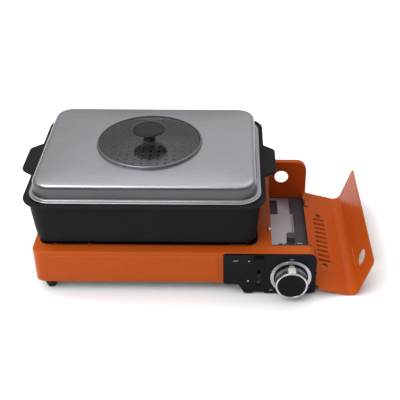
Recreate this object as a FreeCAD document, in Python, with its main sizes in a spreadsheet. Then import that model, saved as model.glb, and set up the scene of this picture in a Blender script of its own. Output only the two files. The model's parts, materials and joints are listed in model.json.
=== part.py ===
import FreeCAD, Part
import Sketcher
import math
import os
import re

# Tabletop stove for a gas canister, with its cooking pot and lid.
# Millimetres, X right, Y back, Z up, table at Z = 0.

doc = FreeCAD.newDocument("CassetteStove")

SIZES = {
    # Casing
    "LeftReach": 215,
    "RightReach": 214,
    "BodyDepth": 264,
    "DeckHeight": 76,
    "BoxBottom": 20,
    "Gauge": 1,
    "BayWidth": 71,
    "StripDepth": 20,
    "BoxCorner": 16,
    "EndRound": 13,
    "WindowEnd": 6,
    "DeckRound": 3.5,
    "SheetClear": 0.2,
    "WindowInset": 15,
    "FrontWindowTop": 66,
    "StripLip": 6,
    "LipWidth": 4,
    "NotchInset": 64,
    "NotchWidth": 12,
    "NotchDepth": 9,
    "EmbossInset": 24,
    "EmbossGap": 8,
    "EmbossBottom": 27,
    "EmbossTop": 69,
    "EmbossProud": 0.8,
    "EmbossCorner": 9,
    # Burner well and drip tray
    "WellInset": 11,
    "WellMargin": 20,
    "WellSide": 23,
    "WellCorner": 12,
    "TrayGauge": 0.8,
    "TrayRim": 3,
    "TrayDepth": 30,
    "TrayHole": 46,
    "ScrewInset": 23,
    "ScrewGap": 9,
    "ClipInset": 14,
    "ClipLength": 26,
    "ClipWidth": 5,
    # Canister bay
    "TrayClear": 2,
    "BayStep": 4,
    "TrayLip": 4,
    "RearOver": 3.5,
    "RearFlange": 10,
    "RearCorner": 18,
    "RearCut": 5,
    "RearHoleInset": 40.5,
    "RearHoleHeight": 47,
    "RearHoleRadius": 12,
    "BracketWidth": 8,
    "BracketLow": 25,
    "BracketHeight": 30,
    "BracketReach": 12,
    "CanInset": 35.5,
    "CanHeight": 40,
    "HeatInset": 6,
    "HeatWidth": 42,
    "HeatShort": 58,
    "HeatTop": 6,
    "HeatFlange": 6,
    "NeckInset": 17,
    "NeckWidth": 21,
    "NeckGap": 8,
    "HeatFoot": 6,
    "HeatTail": 14,
    # Control panel, knob and lever
    "PanelWidth": 140.5,
    "PanelTop": 75.5,
    "PanelThick": 4,
    "StepWidth": 23,
    "SlopeWidth": 9,
    "PanelLow": 2.6,
    "PanelCorner": 4,
    "PanelEnd": 12,
    "PanelCut": 10,
    "PanelCutRise": 3,
    "PanelRelief": 19,
    "PanelReliefRise": 2.6,
    "KnobInset": 38,
    "KnobHeight": 34,
    "KnobRadius": 24.3,
    "KnobLength": 20,
    "KnobGap": 0.6,
    "KnobWall": 2,
    "KnobFaceDrop": 1,
    "RingOuter": 31,
    "RingInner": 26.2,
    "RingThick": 1,
    "PointerWidth": 8,
    "PointerReach": 4,
    "StemRadius": 4,
    "RunClear": 0.05,
    "LeverInset": 16,
    "LeverHeight": 63,
    "LeverHead": 19,
    "LeverWidth": 15,
    "LeverThick": 7,
    "LeverTravel": 30,
    "LeverStemDrop": 8.5,
    "LeverStemHeight": 5,
    "LeverStemWidth": 4,
    "SlotClear": 0.5,
    "SlotLow": 17,
    "SlideClear": 0.3,
    "LinkThick": 3,
    # Regulator and gas path
    "RegulatorRadius": 20,
    "RegulatorInset": 44,
    "RegulatorLength": 24,
    "PlateThick": 2,
    "PlateHalf": 32,
    "BossRadius": 9,
    "NozzleRadius": 10.6,
    "NozzleLength": 18,
    "SocketRadius": 8.6,
    "SocketDepth": 14,
    "YokeGap": 8,
    "YokeHalf": 19,
    "YokeRise": 6.5,
    "YokeBar": 4,
    "KeyHalf": 6.5,
    "KeyTongue": 3,
    "KeyHeight": 9,
    "KeyStart": 8,
    "KeyReach": 22,
    "CapScrewRadius": 1.5,
    "PipeRadius": 3,
    "PipeHeight": 33,
    "PipeInset": 32,
    "InjectorInset": 31,
    "InjectorLength": 14,
    "InjectorRadius": 5,
    "TubeRadius": 9,
    "TubeWall": 1,
    "TubeBend": 30,
    "BurnerShift": 4.5,
    "BurnerRadius": 34,
    "BurnerBottom": 22,
    "BurnerTop": 60,
    "BurnerWall": 3,
    "CapHeight": 9,
    "CapHole": 18,
    "PortWidth": 2,
    "PortHeight": 4,
    "PortCount": 24,
    "ElectrodeReach": 40,
    "InsulatorRadius": 3,
    "InsulatorHeight": 28,
    "ElectrodeRadius": 0.8,
    "PiezoWidth": 9,
    "PiezoHeight": 15,
    "PiezoLength": 24,
    # Feet and screws
    "FootTop": 13,
    "FootTip": 6.5,
    "FootSide": 21,
    "FootInset": 17,
    "PadRadius": 7,
    "PadInset": 9,
    "ScrewRadius": 1.5,
    "HeadRadius": 3,
    "HeadHeight": 1.6,
    "ScrewClear": 0.1,
    # Canister cover and hinge
    "HingeOver": 2,
    "HingeHeight": 13.5,
    "SideLength": 64,
    "FlapLength": 72,
    "CoverTurn": 87,
    "CoverBend": 14,
    "CoverOver": 6,
    "CoverRearClear": 0.4,
    "CoverRest": 0.3,
    "CoverCorner": 8,
    "CoverEdge": 4.2,
    "HemReach": 4.5,
    "KnuckleRadius": 3,
    "PinRadius": 1.5,
    "HingeInset": 40,
    "KnuckleLength": 16,
    "EarThick": 2,
    "VentStart": 10,
    "VentLength": 20,
    "VentWidth": 6.5,
    "VentPitch": 12.4,
    "VentCount": 10,
    "VentInset": 31,
    "VentHole": 5,
    "FlapHoleAlong": 41,
    "FlapHoleInset": 51,
    "FlapHoleRadius": 12.5,
    "BeadAlong": 18,
    "BeadInset": 55,
    "BeadLength": 48,
    "BeadRadius": 1.2,
    # Pan support, pot, rack
    "SupportHeight": 8,
    "SupportThick": 2.5,
    "SupportX": 85,
    "SupportY": 55,
    "PotShift": 6,
    "PotHalfX": 171,
    "PotHalfY": 129,
    "PotFootX": 165,
    "PotFootY": 121,
    "PotHeight": 75,
    "PotWall": 3,
    "PotCorner": 18,
    "RimCorner": 32,
    "PotRound": 6,
    "RimWidth": 7,
    "RimThick": 3,
    "LugReach": 18,
    "LugRoot": 45,
    "LugTip": 32,
    "LugThick": 4.5,
    "LugCorner": 6,
    "RackHeight": 46,
    "RackGauge": 1.5,
    "RackClear": 3,
    "RackCorner": 24,
    "RackHole": 2.5,
    "RackPitch": 20,
    "RackColumns": 15,
    "RackRows": 11,
    "LegRadius": 3,
    "LegInset": 26,
    # Lid
    "LidHalfX": 165,
    "LidHalfY": 122,
    "LidRise": 27.5,
    "LidGauge": 0.8,
    "LidShoulder": 8,
    "LidCorner": 28,
    "LidFlange": 2,
    "LidFlangeWidth": 6,
    "CrownMargin": 3,
    "CrownSlope": 27,
    "CrownRise": 2.5,
    "WindowHole": 77,
    "GlassRadius": 79.5,
    "GlassThick": 3,
    "GasketThick": 1,
    "RingWall": 1.8,
    "RingRise": 0.6,
    "KnobNeck": 7,
    "KnobBase": 12,
    "LidKnobRadius": 25.5,
    "LidKnobHeight": 21.5,
    "LidKnobCap": 7,
    "BoltRadius": 2.5,
    "WasherRadius": 10,
    "WasherThick": 1,
}

# Places that follow from the sizes
PLACES = {
    "Partition": "RightReach - BayWidth",
    "BayBack": "BodyDepth / 2 - BayStep",
    "EmbossLeft": "LeftReach - EmbossInset",
    "WellLeft": "LeftReach - WellInset",
    "WellRight": "Partition - WellMargin",
    "WellHalf": "BodyDepth / 2 - WellSide",
    "BurnerX": "(WellRight - WellLeft) / 2 + BurnerShift",
    "PotX": "BurnerX - PotShift",
    "WellScrewOuter": "WellLeft - ScrewInset",
    "WellScrewInner": "SupportX - BurnerX + ScrewGap",
    "ClipRight": "WellRight - ClipInset",
    "ClipLeft": "ClipRight - ClipLength",
    "NotchPlace": "BodyDepth / 2 - NotchInset",
    "RearReach": "RightReach + RearOver",
    "RearHoleX": "RightReach - RearHoleInset",
    "CanX": "RightReach - CanInset",
    "HeatLeft": "Partition + HeatInset",
    "HeatRight": "HeatLeft + HeatWidth",
    "HeatBack": "BayBack - HeatShort",
    "NeckLeft": "HeatLeft + NeckInset",
    "NeckRight": "NeckLeft + NeckWidth",
    "NeckBack": "BayBack - NeckGap",
    "PanelLeft": "RightReach - PanelWidth",
    "PanelStep": "PanelLeft + StepWidth",
    "PanelSlope": "PanelStep + SlopeWidth",
    "EmbossRight": "PanelLeft - EmbossGap",
    "KnobX": "RightReach - KnobInset",
    "LeverX": "Partition - LeverInset",
    "FrontWindowLeft": "LeverX - WindowInset",
    "RegulatorFace": "BodyDepth / 2 - RegulatorInset",
    "PipeY": "BodyDepth / 2 - PipeInset",
    "InjectorRight": "Partition - InjectorInset",
    "HingeX": "RightReach + HingeOver",
    "HingePlace": "BodyDepth / 2 - HingeInset",
    "CoverFront": "BodyDepth / 2 + CoverOver",
    "VentRear": "HingePlace - VentInset",
    "FlapHoleY": "CoverFront - FlapHoleInset",
    "BeadFront": "CoverFront - BeadInset",
    "CrownRadius": "LidHalfY - LidShoulder - CrownMargin",
    "CrownTop": "CrownRadius - CrownSlope",
}

sheet = doc.addObject("Spreadsheet::Sheet", "Sizes")
cells = [(alias, str(number)) for alias, number in SIZES.items()]
cells += [(alias, "=" + formula) for alias, formula in PLACES.items()]
for row, (alias, content) in enumerate(cells, 1):
    sheet.setAlias("B%d" % row, alias)
    sheet.set("A%d" % row, alias)
    sheet.set("B%d" % row, content)
doc.recompute()


def size(alias):
    return float(sheet.get(alias))


def words(text):
    """An expression whose capitalised words are cells of the sheet."""
    return re.sub(r"\b([A-Z][A-Za-z]+)\b", r"Sizes.\1", str(text))


def tie(thing, **formulas):
    for name, text in formulas.items():
        thing.setExpression(name.replace("_", "."), words(text))


def stand(thing, x, y, z):
    tie(thing, Placement_Base_x=x, Placement_Base_y=y, Placement_Base_z=z)


TURNS = {
    "x": FreeCAD.Rotation(FreeCAD.Vector(0, 1, 0), 90),
    "y": FreeCAD.Rotation(FreeCAD.Vector(1, 0, 0), -90),
    "z": FreeCAD.Rotation(),
}


def shape_box(thing, x, y, z):
    tie(
        thing,
        Length="(%s) - (%s)" % (x[1], x[0]),
        Width="(%s) - (%s)" % (y[1], y[0]),
        Height="(%s) - (%s)" % (z[1], z[0]),
    )
    stand(thing, x[0], y[0], z[0])
    return thing


def shape_rod(thing, start, axis, radius, length):
    thing.Placement = FreeCAD.Placement(FreeCAD.Vector(), TURNS[axis])
    tie(thing, Radius=radius, Height=length)
    stand(thing, *start)
    return thing


def block(name, x, y, z):
    return shape_box(doc.addObject("Part::Box", name), x, y, z)


def rod(name, start, axis, radius, length):
    return shape_rod(doc.addObject("Part::Cylinder", name), start, axis, radius, length)


def cone(name, start, low, high, height):
    thing = doc.addObject("Part::Cone", name)
    tie(thing, Radius1=low, Radius2=high, Height=height)
    stand(thing, *start)
    return thing


def elbow(name, centre, bend, radius, start):
    """A quarter of a flat ring, from the given angle on."""
    thing = doc.addObject("Part::Torus", name)
    thing.Placement = FreeCAD.Placement(
        FreeCAD.Vector(),
        FreeCAD.Rotation(FreeCAD.Vector(0, 0, 1), start),
    )
    thing.Angle3 = 90
    tie(thing, Radius1=bend, Radius2=radius)
    stand(thing, *centre)
    return thing


def fuse(name, *shapes):
    thing = doc.addObject("Part::MultiFuse", name)
    thing.Shapes = list(shapes)
    return thing


def cut(name, base, tool):
    thing = doc.addObject("Part::Cut", name)
    thing.Base = base
    thing.Tool = tool
    return thing


def carve(name, base, *tools):
    tool = tools[0] if len(tools) == 1 else fuse(name + "_tools", *tools)
    return cut(name, base, tool)


def new_body(name):
    return doc.addObject("PartDesign::Body", name)


def add_box(body, name, x, y, z):
    return shape_box(body.newObject("PartDesign::AdditiveBox", name), x, y, z)


def take_box(body, name, x, y, z):
    return shape_box(body.newObject("PartDesign::SubtractiveBox", name), x, y, z)


def add_rod(body, name, start, axis, radius, length):
    return shape_rod(body.newObject("PartDesign::AdditiveCylinder", name), start, axis, radius, length)


def take_rod(body, name, start, axis, radius, length):
    return shape_rod(
        body.newObject("PartDesign::SubtractiveCylinder", name),
        start,
        axis,
        radius,
        length,
    )


def picked(shape, test):
    return ["Edge%d" % number for number, edge in enumerate(shape.Edges, 1) if test(edge)]


def round_edges(body, name, test, radius):
    doc.recompute()
    last = body.Tip
    thing = body.newObject("PartDesign::Fillet", name)
    thing.Base = (last, picked(last.Shape, test))
    tie(thing, Radius=radius)
    return thing


def hollow(body, name, test, wall):
    doc.recompute()
    last = body.Tip
    open_faces = ["Face%d" % number for number, face in enumerate(last.Shape.Faces, 1) if test(face)]
    thing = body.newObject("PartDesign::Thickness", name)
    thing.Base = (last, open_faces)
    thing.Reversed = True
    thing.Join = 0
    tie(thing, Value=wall)
    return thing


def along(edge, axis):
    direction = edge.tangentAt(edge.FirstParameter)
    return edge.Curve.TypeId == "Part::GeomLine" and abs(getattr(direction, axis)) > 0.9


def upright(edge):
    return along(edge, "z")


def near(value, goal):
    return abs(value - goal) < 0.05


def level(edge, height):
    return near(edge.BoundBox.ZMin, height) and near(edge.BoundBox.ZMax, height)


def origin_plane(body, role):
    return [item for item in body.Origin.OriginFeatures if item.Role == role][0]


def outline(body, name, role, points):
    """A closed sketch of straight sides whose corners are bound to the sheet."""
    sketch = body.newObject("Sketcher::SketchObject", name)
    sketch.AttachmentSupport = [(origin_plane(body, role), "")]
    sketch.MapMode = "FlatFace"
    count = len(points)
    rough = [FreeCAD.Vector(
        math.cos(math.tau * i / count),
        math.sin(math.tau * i / count),
    ) for i in range(count)]
    for i in range(count):
        sketch.addGeometry(Part.LineSegment(rough[i], rough[(i + 1) % count]), False)
    for i in range(count):
        sketch.addConstraint(Sketcher.Constraint("Coincident", i, 2, (i + 1) % count, 1))
    for i, point in enumerate(points):
        for kind, formula, guess in (
            ("DistanceX", point[0], rough[i].x),
            ("DistanceY", point[1], rough[i].y),
        ):
            number = sketch.addConstraint(Sketcher.Constraint(kind, -1, 1, i, 1, guess))
            sketch.setExpression("Constraints[%d]" % number, words(formula))
    doc.recompute()
    return sketch


def pad(body, name, sketch, length):
    thing = body.newObject("PartDesign::Pad", name)
    thing.Profile = sketch
    tie(thing, Length=length)
    return thing


def turned(name, points, place):
    """A piece turned about an upright axis from radius and height points."""
    body = new_body(name)
    sketch = outline(body, name + "_profile", "XZ_Plane", points)
    spin = body.newObject("PartDesign::Revolution", name + "_turned")
    spin.Profile = sketch
    spin.ReferenceAxis = (sketch, ["V_Axis"])
    spin.Angle = 360
    stand(body, *place)
    return body


NODES = []


def node(thing, label):
    thing.Label = label
    NODES.append(thing)
    return thing


FRONT = "-BodyDepth / 2"
BACK = "BodyDepth / 2"
STRIP_BACK = "-BodyDepth / 2 + StripDepth"
PANEL_FACE = "-BodyDepth / 2 - PanelThick"
FLOOR = "TrayClear + Gauge"
WELL_SCREWS = [(x, y) for x in ("-WellScrewOuter", "-WellScrewInner") for y in ("-1", "1")]


def well_screw_place(x, side, z):
    return (x, "(WellHalf + TrayRim / 2) * (%s)" % side, z)


def top_shell():
    body = new_body("TopShell")
    add_box(body, "MainBlock", ("-LeftReach", "Partition"), (FRONT, BACK), ("BoxBottom", "DeckHeight"))
    add_box(
        body,
        "FrontBlock",
        ("Partition - Gauge", "RightReach"),
        (FRONT, STRIP_BACK),
        ("BoxBottom", "DeckHeight"),
    )
    left = -size("LeftReach")
    right = size("RightReach")
    top = size("DeckHeight")
    back = size("BodyDepth") / 2
    part = size("Partition")
    round_edges(body, "LeftCorners", lambda e: upright(e) and near(e.BoundBox.XMin, left), "BoxCorner")
    round_edges(
        body,
        "StripEnd",
        lambda e: along(e, "y") and level(e, top) and near(e.BoundBox.XMin, right),
        "EndRound",
    )
    round_edges(
        body,
        "DeckEdges",
        lambda e: level(e, top)
        and not (near(e.BoundBox.XMin, part) and near(e.BoundBox.XMax, part))
        and not (near(e.BoundBox.YMin, -back + size("StripDepth")) and e.BoundBox.XMin > part - 2),
        "DeckRound",
    )
    hollow(body, "Shell", lambda f: near(f.BoundBox.ZMax, size("BoxBottom")), "Gauge")
    add_box(
        body,
        "PartitionLip",
        ("Partition - Gauge / 2", "Partition + LipWidth"),
        ("-BodyDepth / 2 + StripDepth - Gauge", "BayBack - SheetClear"),
        ("DeckHeight - Gauge", "DeckHeight"),
    )
    add_box(
        body,
        "PartitionSkirt",
        ("Partition - Gauge", "Partition"),
        (STRIP_BACK, "BayBack - SheetClear"),
        (FLOOR, "BoxBottom + Gauge"),
    )
    take_box(
        body,
        "Notch",
        ("Partition - 2 * Gauge", "Partition + LipWidth + Gauge"),
        ("-NotchPlace - NotchWidth / 2", "-NotchPlace + NotchWidth / 2"),
        ("DeckHeight - NotchDepth", "DeckHeight + Gauge"),
    )
    take_box(
        body,
        "Well",
        ("-WellLeft", "WellRight"),
        ("-WellHalf", "WellHalf"),
        ("DeckHeight - 3 * Gauge", "DeckHeight + Gauge"),
    )
    well_edges = (-size("WellLeft"), size("WellRight"))
    round_edges(
        body,
        "WellCorners",
        lambda e: upright(e) and any(near(
            e.BoundBox.XMin,
            x,
        ) for x in well_edges) and e.Length < 2 * size("Gauge"),
        "WellCorner",
    )
    take_box(
        body,
        "FrontWindow",
        ("FrontWindowLeft", "RightReach - WindowEnd"),
        ("-BodyDepth / 2 - Gauge", "-BodyDepth / 2 + 2 * Gauge"),
        ("BoxBottom - Gauge", "FrontWindowTop"),
    )
    take_box(
        body,
        "BayMouth",
        ("Partition + SheetClear", "RightReach - WindowEnd"),
        ("-BodyDepth / 2 + StripDepth - 2 * Gauge", "-BodyDepth / 2 + StripDepth + Gauge"),
        ("BoxBottom - Gauge", "DeckHeight - StripLip"),
    )
    pipe_place = ("Partition - 3 * Gauge", "-PipeY", "PipeHeight")
    take_rod(body, "PipeHole", pipe_place, "x", "PipeRadius + SlideClear", "5 * Gauge")
    add_box(
        body,
        "Emboss",
        ("-EmbossLeft", "EmbossRight"),
        ("-BodyDepth / 2 - EmbossProud", "-BodyDepth / 2 + Gauge / 2"),
        ("EmbossBottom", "EmbossTop"),
    )
    round_edges(
        body,
        "EmbossCorners",
        lambda e: along(e, "y") and e.Length < 1 and near(e.BoundBox.YMin, -back - size("EmbossProud")),
        "EmbossCorner",
    )
    for number, (x, side) in enumerate(WELL_SCREWS):
        place = well_screw_place(x, side, "DeckHeight - 2 * Gauge")
        take_rod(body, "WellScrewHole%d" % number, place, "z", "ScrewRadius + ScrewClear", "4 * Gauge")
    return node(body, "top_shell")


def base_plate():
    body = new_body("BasePlate")
    add_box(
        body,
        "BasePlateSheet",
        ("-LeftReach + Gauge + SheetClear", "Partition - Gauge - SheetClear"),
        ("-BodyDepth / 2 + Gauge + SheetClear", "BodyDepth / 2 - Gauge - SheetClear"),
        ("BoxBottom", "BoxBottom + Gauge"),
    )
    left = -size("LeftReach") + size("Gauge") + size("SheetClear")
    round_edges(
        body,
        "BaseCorners",
        lambda e: upright(e) and near(e.BoundBox.XMin, left),
        "BoxCorner - Gauge",
    )
    for number, side in enumerate(("-1", "1")):
        place = (
            "-LeftReach + FootSide",
            "(BodyDepth / 2 - FootInset) * (%s)" % side,
            "BoxBottom - Gauge",
        )
        take_rod(body, "FootScrewHole%d" % number, place, "z", "ScrewRadius + ScrewClear", "3 * Gauge")
    return node(body, "base_plate")


def hinge_sides():
    """Both places of the hinge along Y, as expressions."""
    return ("-HingePlace", "HingePlace")


def bay_tray():
    pieces = [
        block(
            "TrayFloor",
            ("Partition - Gauge", "RightReach"),
            ("-BodyDepth / 2 + Gauge", "BayBack"),
            ("TrayClear", FLOOR),
        ),
        block(
            "TrayRightLip",
            ("RightReach - Gauge", "RightReach"),
            (STRIP_BACK, "BayBack - SheetClear"),
            ("TrayClear", "TrayClear + TrayLip"),
        ),
    ]
    for number, middle in enumerate(hinge_sides()):
        for end, start in enumerate(
            (
                "%s - KnuckleLength / 2 - SlideClear - EarThick" % middle,
                "%s + KnuckleLength / 2 + SlideClear" % middle,
            )
        ):
            pieces.append(
                block(
                    "Ear%d%d" % (number, end),
                    ("RightReach - 2 * Gauge", "HingeX + PinRadius + Gauge"),
                    (start, "%s + EarThick" % start),
                    ("TrayClear", "HingeHeight + PinRadius + Gauge"),
                )
            )
    solid = fuse("TraySolid", *pieces)
    holes = []
    for number, middle in enumerate(hinge_sides()):
        start = "%s - KnuckleLength / 2 - 2 * EarThick" % middle
        length = "KnuckleLength + 4 * EarThick"
        holes.append(
            rod(
                "EarHole%d" % number,
                ("HingeX", start, "HingeHeight"),
                "y",
                "PinRadius + RunClear",
                length,
            ),
        )
    return node(carve("BayTray", solid, *holes), "bay_tray")


def hinge_pins():
    pins = []
    for number, middle in enumerate(hinge_sides()):
        start = "%s - KnuckleLength / 2 - SlideClear - EarThick" % middle
        length = "KnuckleLength + 2 * SlideClear + 2 * EarThick"
        pins.append(rod("Pin%d" % number, ("HingeX", start, "HingeHeight"), "y", "PinRadius", length))
    return node(fuse("HingePins", *pins), "hinge_pins")


def bay_rear_wall():
    body = new_body("RearWall")
    add_box(
        body,
        "RearBlock",
        ("Partition + SheetClear", "RearReach"),
        ("BayBack", "BayBack + RearFlange"),
        ("TrayClear", "DeckHeight + Gauge"),
    )
    reach = size("RearReach")
    top = size("DeckHeight") + size("Gauge")
    doc.recompute()
    round_edges(
        body,
        "RearTopCorner",
        lambda e: along(e, "y") and near(e.BoundBox.XMin, reach) and near(e.BoundBox.ZMin, top),
        "RearCorner",
    )
    doc.recompute()
    last = body.Tip
    corner = body.newObject("PartDesign::Chamfer", "RearLowCorner")
    corner.Base = (
        last,
        picked(
            last.Shape,
            lambda e: along(e, "y") and near(
                e.BoundBox.XMin,
                reach,
            ) and near(e.BoundBox.ZMin, size("TrayClear")),
        ),
    )
    tie(corner, Size="RearCut")
    back = size("BayBack") + size("RearFlange")
    low = size("TrayClear")
    left = size("Partition") + size("SheetClear")
    hollow(
        body,
        "RearDish",
        lambda f: near(f.BoundBox.YMin, back)
        or near(f.BoundBox.ZMax, low)
        or (near(f.BoundBox.XMax, left) and near(f.BoundBox.XMin, left)),
        "Gauge",
    )
    take_rod(
        body,
        "RearHole",
        ("RearHoleX", "BayBack - Gauge", "RearHoleHeight"),
        "y",
        "RearHoleRadius",
        "RearFlange",
    )
    return node(body, "bay_rear_wall")


def rear_bracket():
    wall = block(
        "BracketWall",
        ("Partition", "Partition + Gauge"),
        ("BayBack - BracketReach", "BayBack"),
        ("BracketLow", "BracketLow + BracketHeight"),
    )
    face = block(
        "BracketFace",
        ("Partition", "Partition + Gauge + BracketWidth"),
        ("BayBack - Gauge", "BayBack"),
        ("BracketLow", "BracketLow + BracketHeight"),
    )
    return node(fuse("RearBracket", wall, face), "rear_bracket")


def cover_latch():
    plate = block(
        "LatchPlate",
        ("Partition", "Partition + Gauge"),
        ("-NotchPlace - NotchWidth / 2 - Gauge", "-NotchPlace + NotchWidth / 2 + Gauge"),
        ("DeckHeight - NotchDepth - 3 * Gauge - NotchWidth", "DeckHeight - NotchDepth - Gauge"),
    )
    hook = block(
        "LatchHook",
        ("Partition", "Partition + LipWidth"),
        ("-NotchPlace - NotchWidth / 4", "-NotchPlace + NotchWidth / 4"),
        ("DeckHeight - NotchDepth - 2 * Gauge", "DeckHeight - Gauge"),
    )
    return node(fuse("CoverLatch", plate, hook), "cover_latch")


def heat_plate():
    top = ("HeatTop - Gauge", "HeatTop")
    front = "-RegulatorFace + PlateThick + SheetClear"
    foot = (FLOOR, "HeatTop - Gauge / 2")
    pieces = [
        block("HeatWide", ("HeatLeft", "HeatRight"), (front, "HeatBack"), top),
        block("HeatNeck", ("NeckLeft", "NeckRight"), ("HeatBack - Gauge", "NeckBack"), top),
        block(
            "HeatEnd",
            ("NeckLeft - HeatTail", "NeckLeft + Gauge"),
            ("NeckBack - HeatFoot", "NeckBack"),
            top,
        ),
        block(
            "HeatUpright",
            ("HeatRight - Gauge", "HeatRight"),
            (front, "HeatBack - HeatFoot"),
            ("HeatTop - Gauge", "HeatTop + HeatFlange"),
        ),
        block("HeatFootBack", ("NeckLeft", "NeckRight"), ("NeckBack - HeatFoot", "NeckBack"), foot),
        block("HeatFootLeft", ("HeatLeft", "HeatLeft + HeatFoot"), (front, "HeatBack"), foot),
        block("HeatFootRight", ("HeatRight - HeatFoot", "HeatRight"), (front, "HeatBack"), foot),
    ]
    return node(fuse("HeatPlate", *pieces), "heat_plate")


def control_panel():
    body = new_body("ControlPanel")
    points = [
        ("PanelLeft", "BoxBottom"),
        ("PanelStep", "BoxBottom"),
        ("PanelSlope", "PanelLow"),
        ("LeverX - PanelRelief / 2", "PanelLow"),
        ("LeverX - PanelRelief / 2", "PanelLow + PanelReliefRise"),
        ("LeverX + PanelRelief / 2", "PanelLow + PanelReliefRise"),
        ("LeverX + PanelRelief / 2", "PanelLow"),
        ("RightReach - PanelCut", "PanelLow"),
        ("RightReach", "PanelLow + PanelCutRise"),
        ("RightReach", "PanelTop"),
        ("PanelLeft", "PanelTop"),
    ]
    pad(body, "PanelPad", outline(body, "PanelOutline", "XZ_Plane", points), "PanelThick")
    for name, side, height, radius in (
        ("Left", "PanelLeft", "PanelTop", "PanelCorner"),
        ("Low", "PanelLeft", "BoxBottom", "PanelCorner"),
        ("Right", "RightReach", "PanelTop", "PanelEnd"),
    ):
        edge_x = size(side)
        edge_z = size(height)
        round_edges(
            body,
            "Panel%sCorner" % name,
            lambda e: along(e, "y") and near(
                e.BoundBox.XMin,
                edge_x,
            ) and near(e.BoundBox.ZMin, edge_z),
            radius,
        )
    stand(body, "0", FRONT, "0")
    take_rod(
        body,
        "KnobHole",
        ("KnobX", "-PanelThick - Gauge", "KnobHeight"),
        "y",
        "BossRadius + SlideClear",
        "PanelThick + 2 * Gauge",
    )
    take_box(
        body,
        "LeverSlot",
        ("LeverX - LeverStemWidth / 2 - SlotClear", "LeverX + LeverStemWidth / 2 + SlotClear"),
        ("-PanelThick - Gauge", "Gauge"),
        (
            "SlotLow",
            "LeverHeight - LeverStemDrop + LeverStemHeight / 2 + SlotClear",
        ),
    )
    return node(body, "control_panel")


def ring(name, place, axis, outer, inner, length, over):
    """A tube along Y or Z, its bore running past both ends."""
    start = list(place)
    middle = {"x": 0, "y": 1, "z": 2}[axis]
    start[middle] = "%s - %s" % (place[middle], over)
    solid = rod(name + "Outer", place, axis, outer, length)
    bore = rod(name + "Bore", start, axis, inner, "(%s) + 2 * (%s)" % (length, over))
    return cut(name, solid, bore)


def dial_ring():
    place = ("KnobX", "%s - RingThick" % PANEL_FACE, "KnobHeight")
    return node(
        ring("DialRing", place, "y", "RingOuter", "RingInner", "RingThick", "Gauge"),
        "dial_ring",
    )


KNOB_BACK = "-BodyDepth / 2 - PanelThick - RingThick - KnobGap"


def knob_shell():
    front = "%s - KnobLength" % KNOB_BACK
    solid = rod("KnobSolid", ("KnobX", front, "KnobHeight"), "y", "KnobRadius", "KnobLength")
    recess = rod(
        "KnobRecess",
        ("KnobX", "%s - Gauge" % front, "KnobHeight"),
        "y",
        "KnobRadius - KnobWall",
        "KnobLength - 2 * Gauge",
    )
    bore = rod("KnobBore", ("KnobX", front, "KnobHeight"), "y", "StemRadius", "KnobLength + Gauge")
    return node(carve("KnobShell", solid, recess, bore), "knob_shell")


def knob_insert():
    start = "%s - KnobLength + KnobFaceDrop" % KNOB_BACK
    solid = rod(
        "InsertSolid",
        ("KnobX", start, "KnobHeight"),
        "y",
        "KnobRadius - KnobWall",
        "KnobLength - 3 * Gauge - KnobFaceDrop",
    )
    bore = rod(
        "InsertBore",
        ("KnobX", "%s + 4 * Gauge" % start, "KnobHeight"),
        "y",
        "StemRadius",
        "KnobLength",
    )
    return node(cut("KnobInsert", solid, bore), "knob_insert")


def knob_pointer():
    return node(
        block(
            "KnobPointer",
            ("KnobX - PointerWidth / 2", "KnobX + PointerWidth / 2"),
            ("%s - KnobLength / 3" % KNOB_BACK, KNOB_BACK),
            ("KnobHeight + KnobRadius", "KnobHeight + KnobRadius + PointerReach"),
        ),
        "knob_pointer",
    )


VALVE_END = "-RegulatorFace - RegulatorLength + StemRadius"


def valve_stem():
    start = "%s - KnobLength + KnobFaceDrop + 4 * Gauge" % KNOB_BACK
    length = "(%s) - (%s)" % (VALVE_END, start)
    return node(
        rod("ValveStem", ("KnobX", start, "KnobHeight"), "y", "StemRadius", length),
        "valve_stem",
    )


def lever_head():
    back = "%s - SlideClear" % PANEL_FACE
    body = new_body("LeverHeadBody")
    add_box(
        body,
        "LeverBlock",
        ("LeverX - LeverWidth / 2", "LeverX + LeverWidth / 2"),
        ("%s - LeverThick" % back, back),
        ("LeverHeight - LeverHead / 2", "LeverHeight + LeverHead / 2"),
    )
    round_edges(body, "LeverCorners", lambda e: along(e, "y"), "LeverThick / 3")
    return node(body, "lever_head")


LINK_BACK = "-BodyDepth / 2 + Gauge + SlideClear + LinkThick"
STEM_HEIGHT = "LeverHeight - LeverStemDrop"


def lever_stem():
    stem = block(
        "StemBar",
        ("LeverX - LeverStemWidth / 2", "LeverX + LeverStemWidth / 2"),
        ("%s - SlideClear" % PANEL_FACE, LINK_BACK),
        ("%s - LeverStemHeight / 2" % STEM_HEIGHT, "%s + LeverStemHeight / 2" % STEM_HEIGHT),
    )
    link = block(
        "StemPlate",
        ("LeverX - LeverWidth / 3", "LeverX + LeverWidth / 3"),
        ("%s - LinkThick" % LINK_BACK, LINK_BACK),
        ("%s - LeverStemHeight / 2" % STEM_HEIGHT, "%s + LeverHead / 2" % STEM_HEIGHT),
    )
    return node(fuse("LeverStem", stem, link), "lever_stem")


YOKE_FACE = "-RegulatorFace + PlateThick + NozzleLength"


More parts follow.
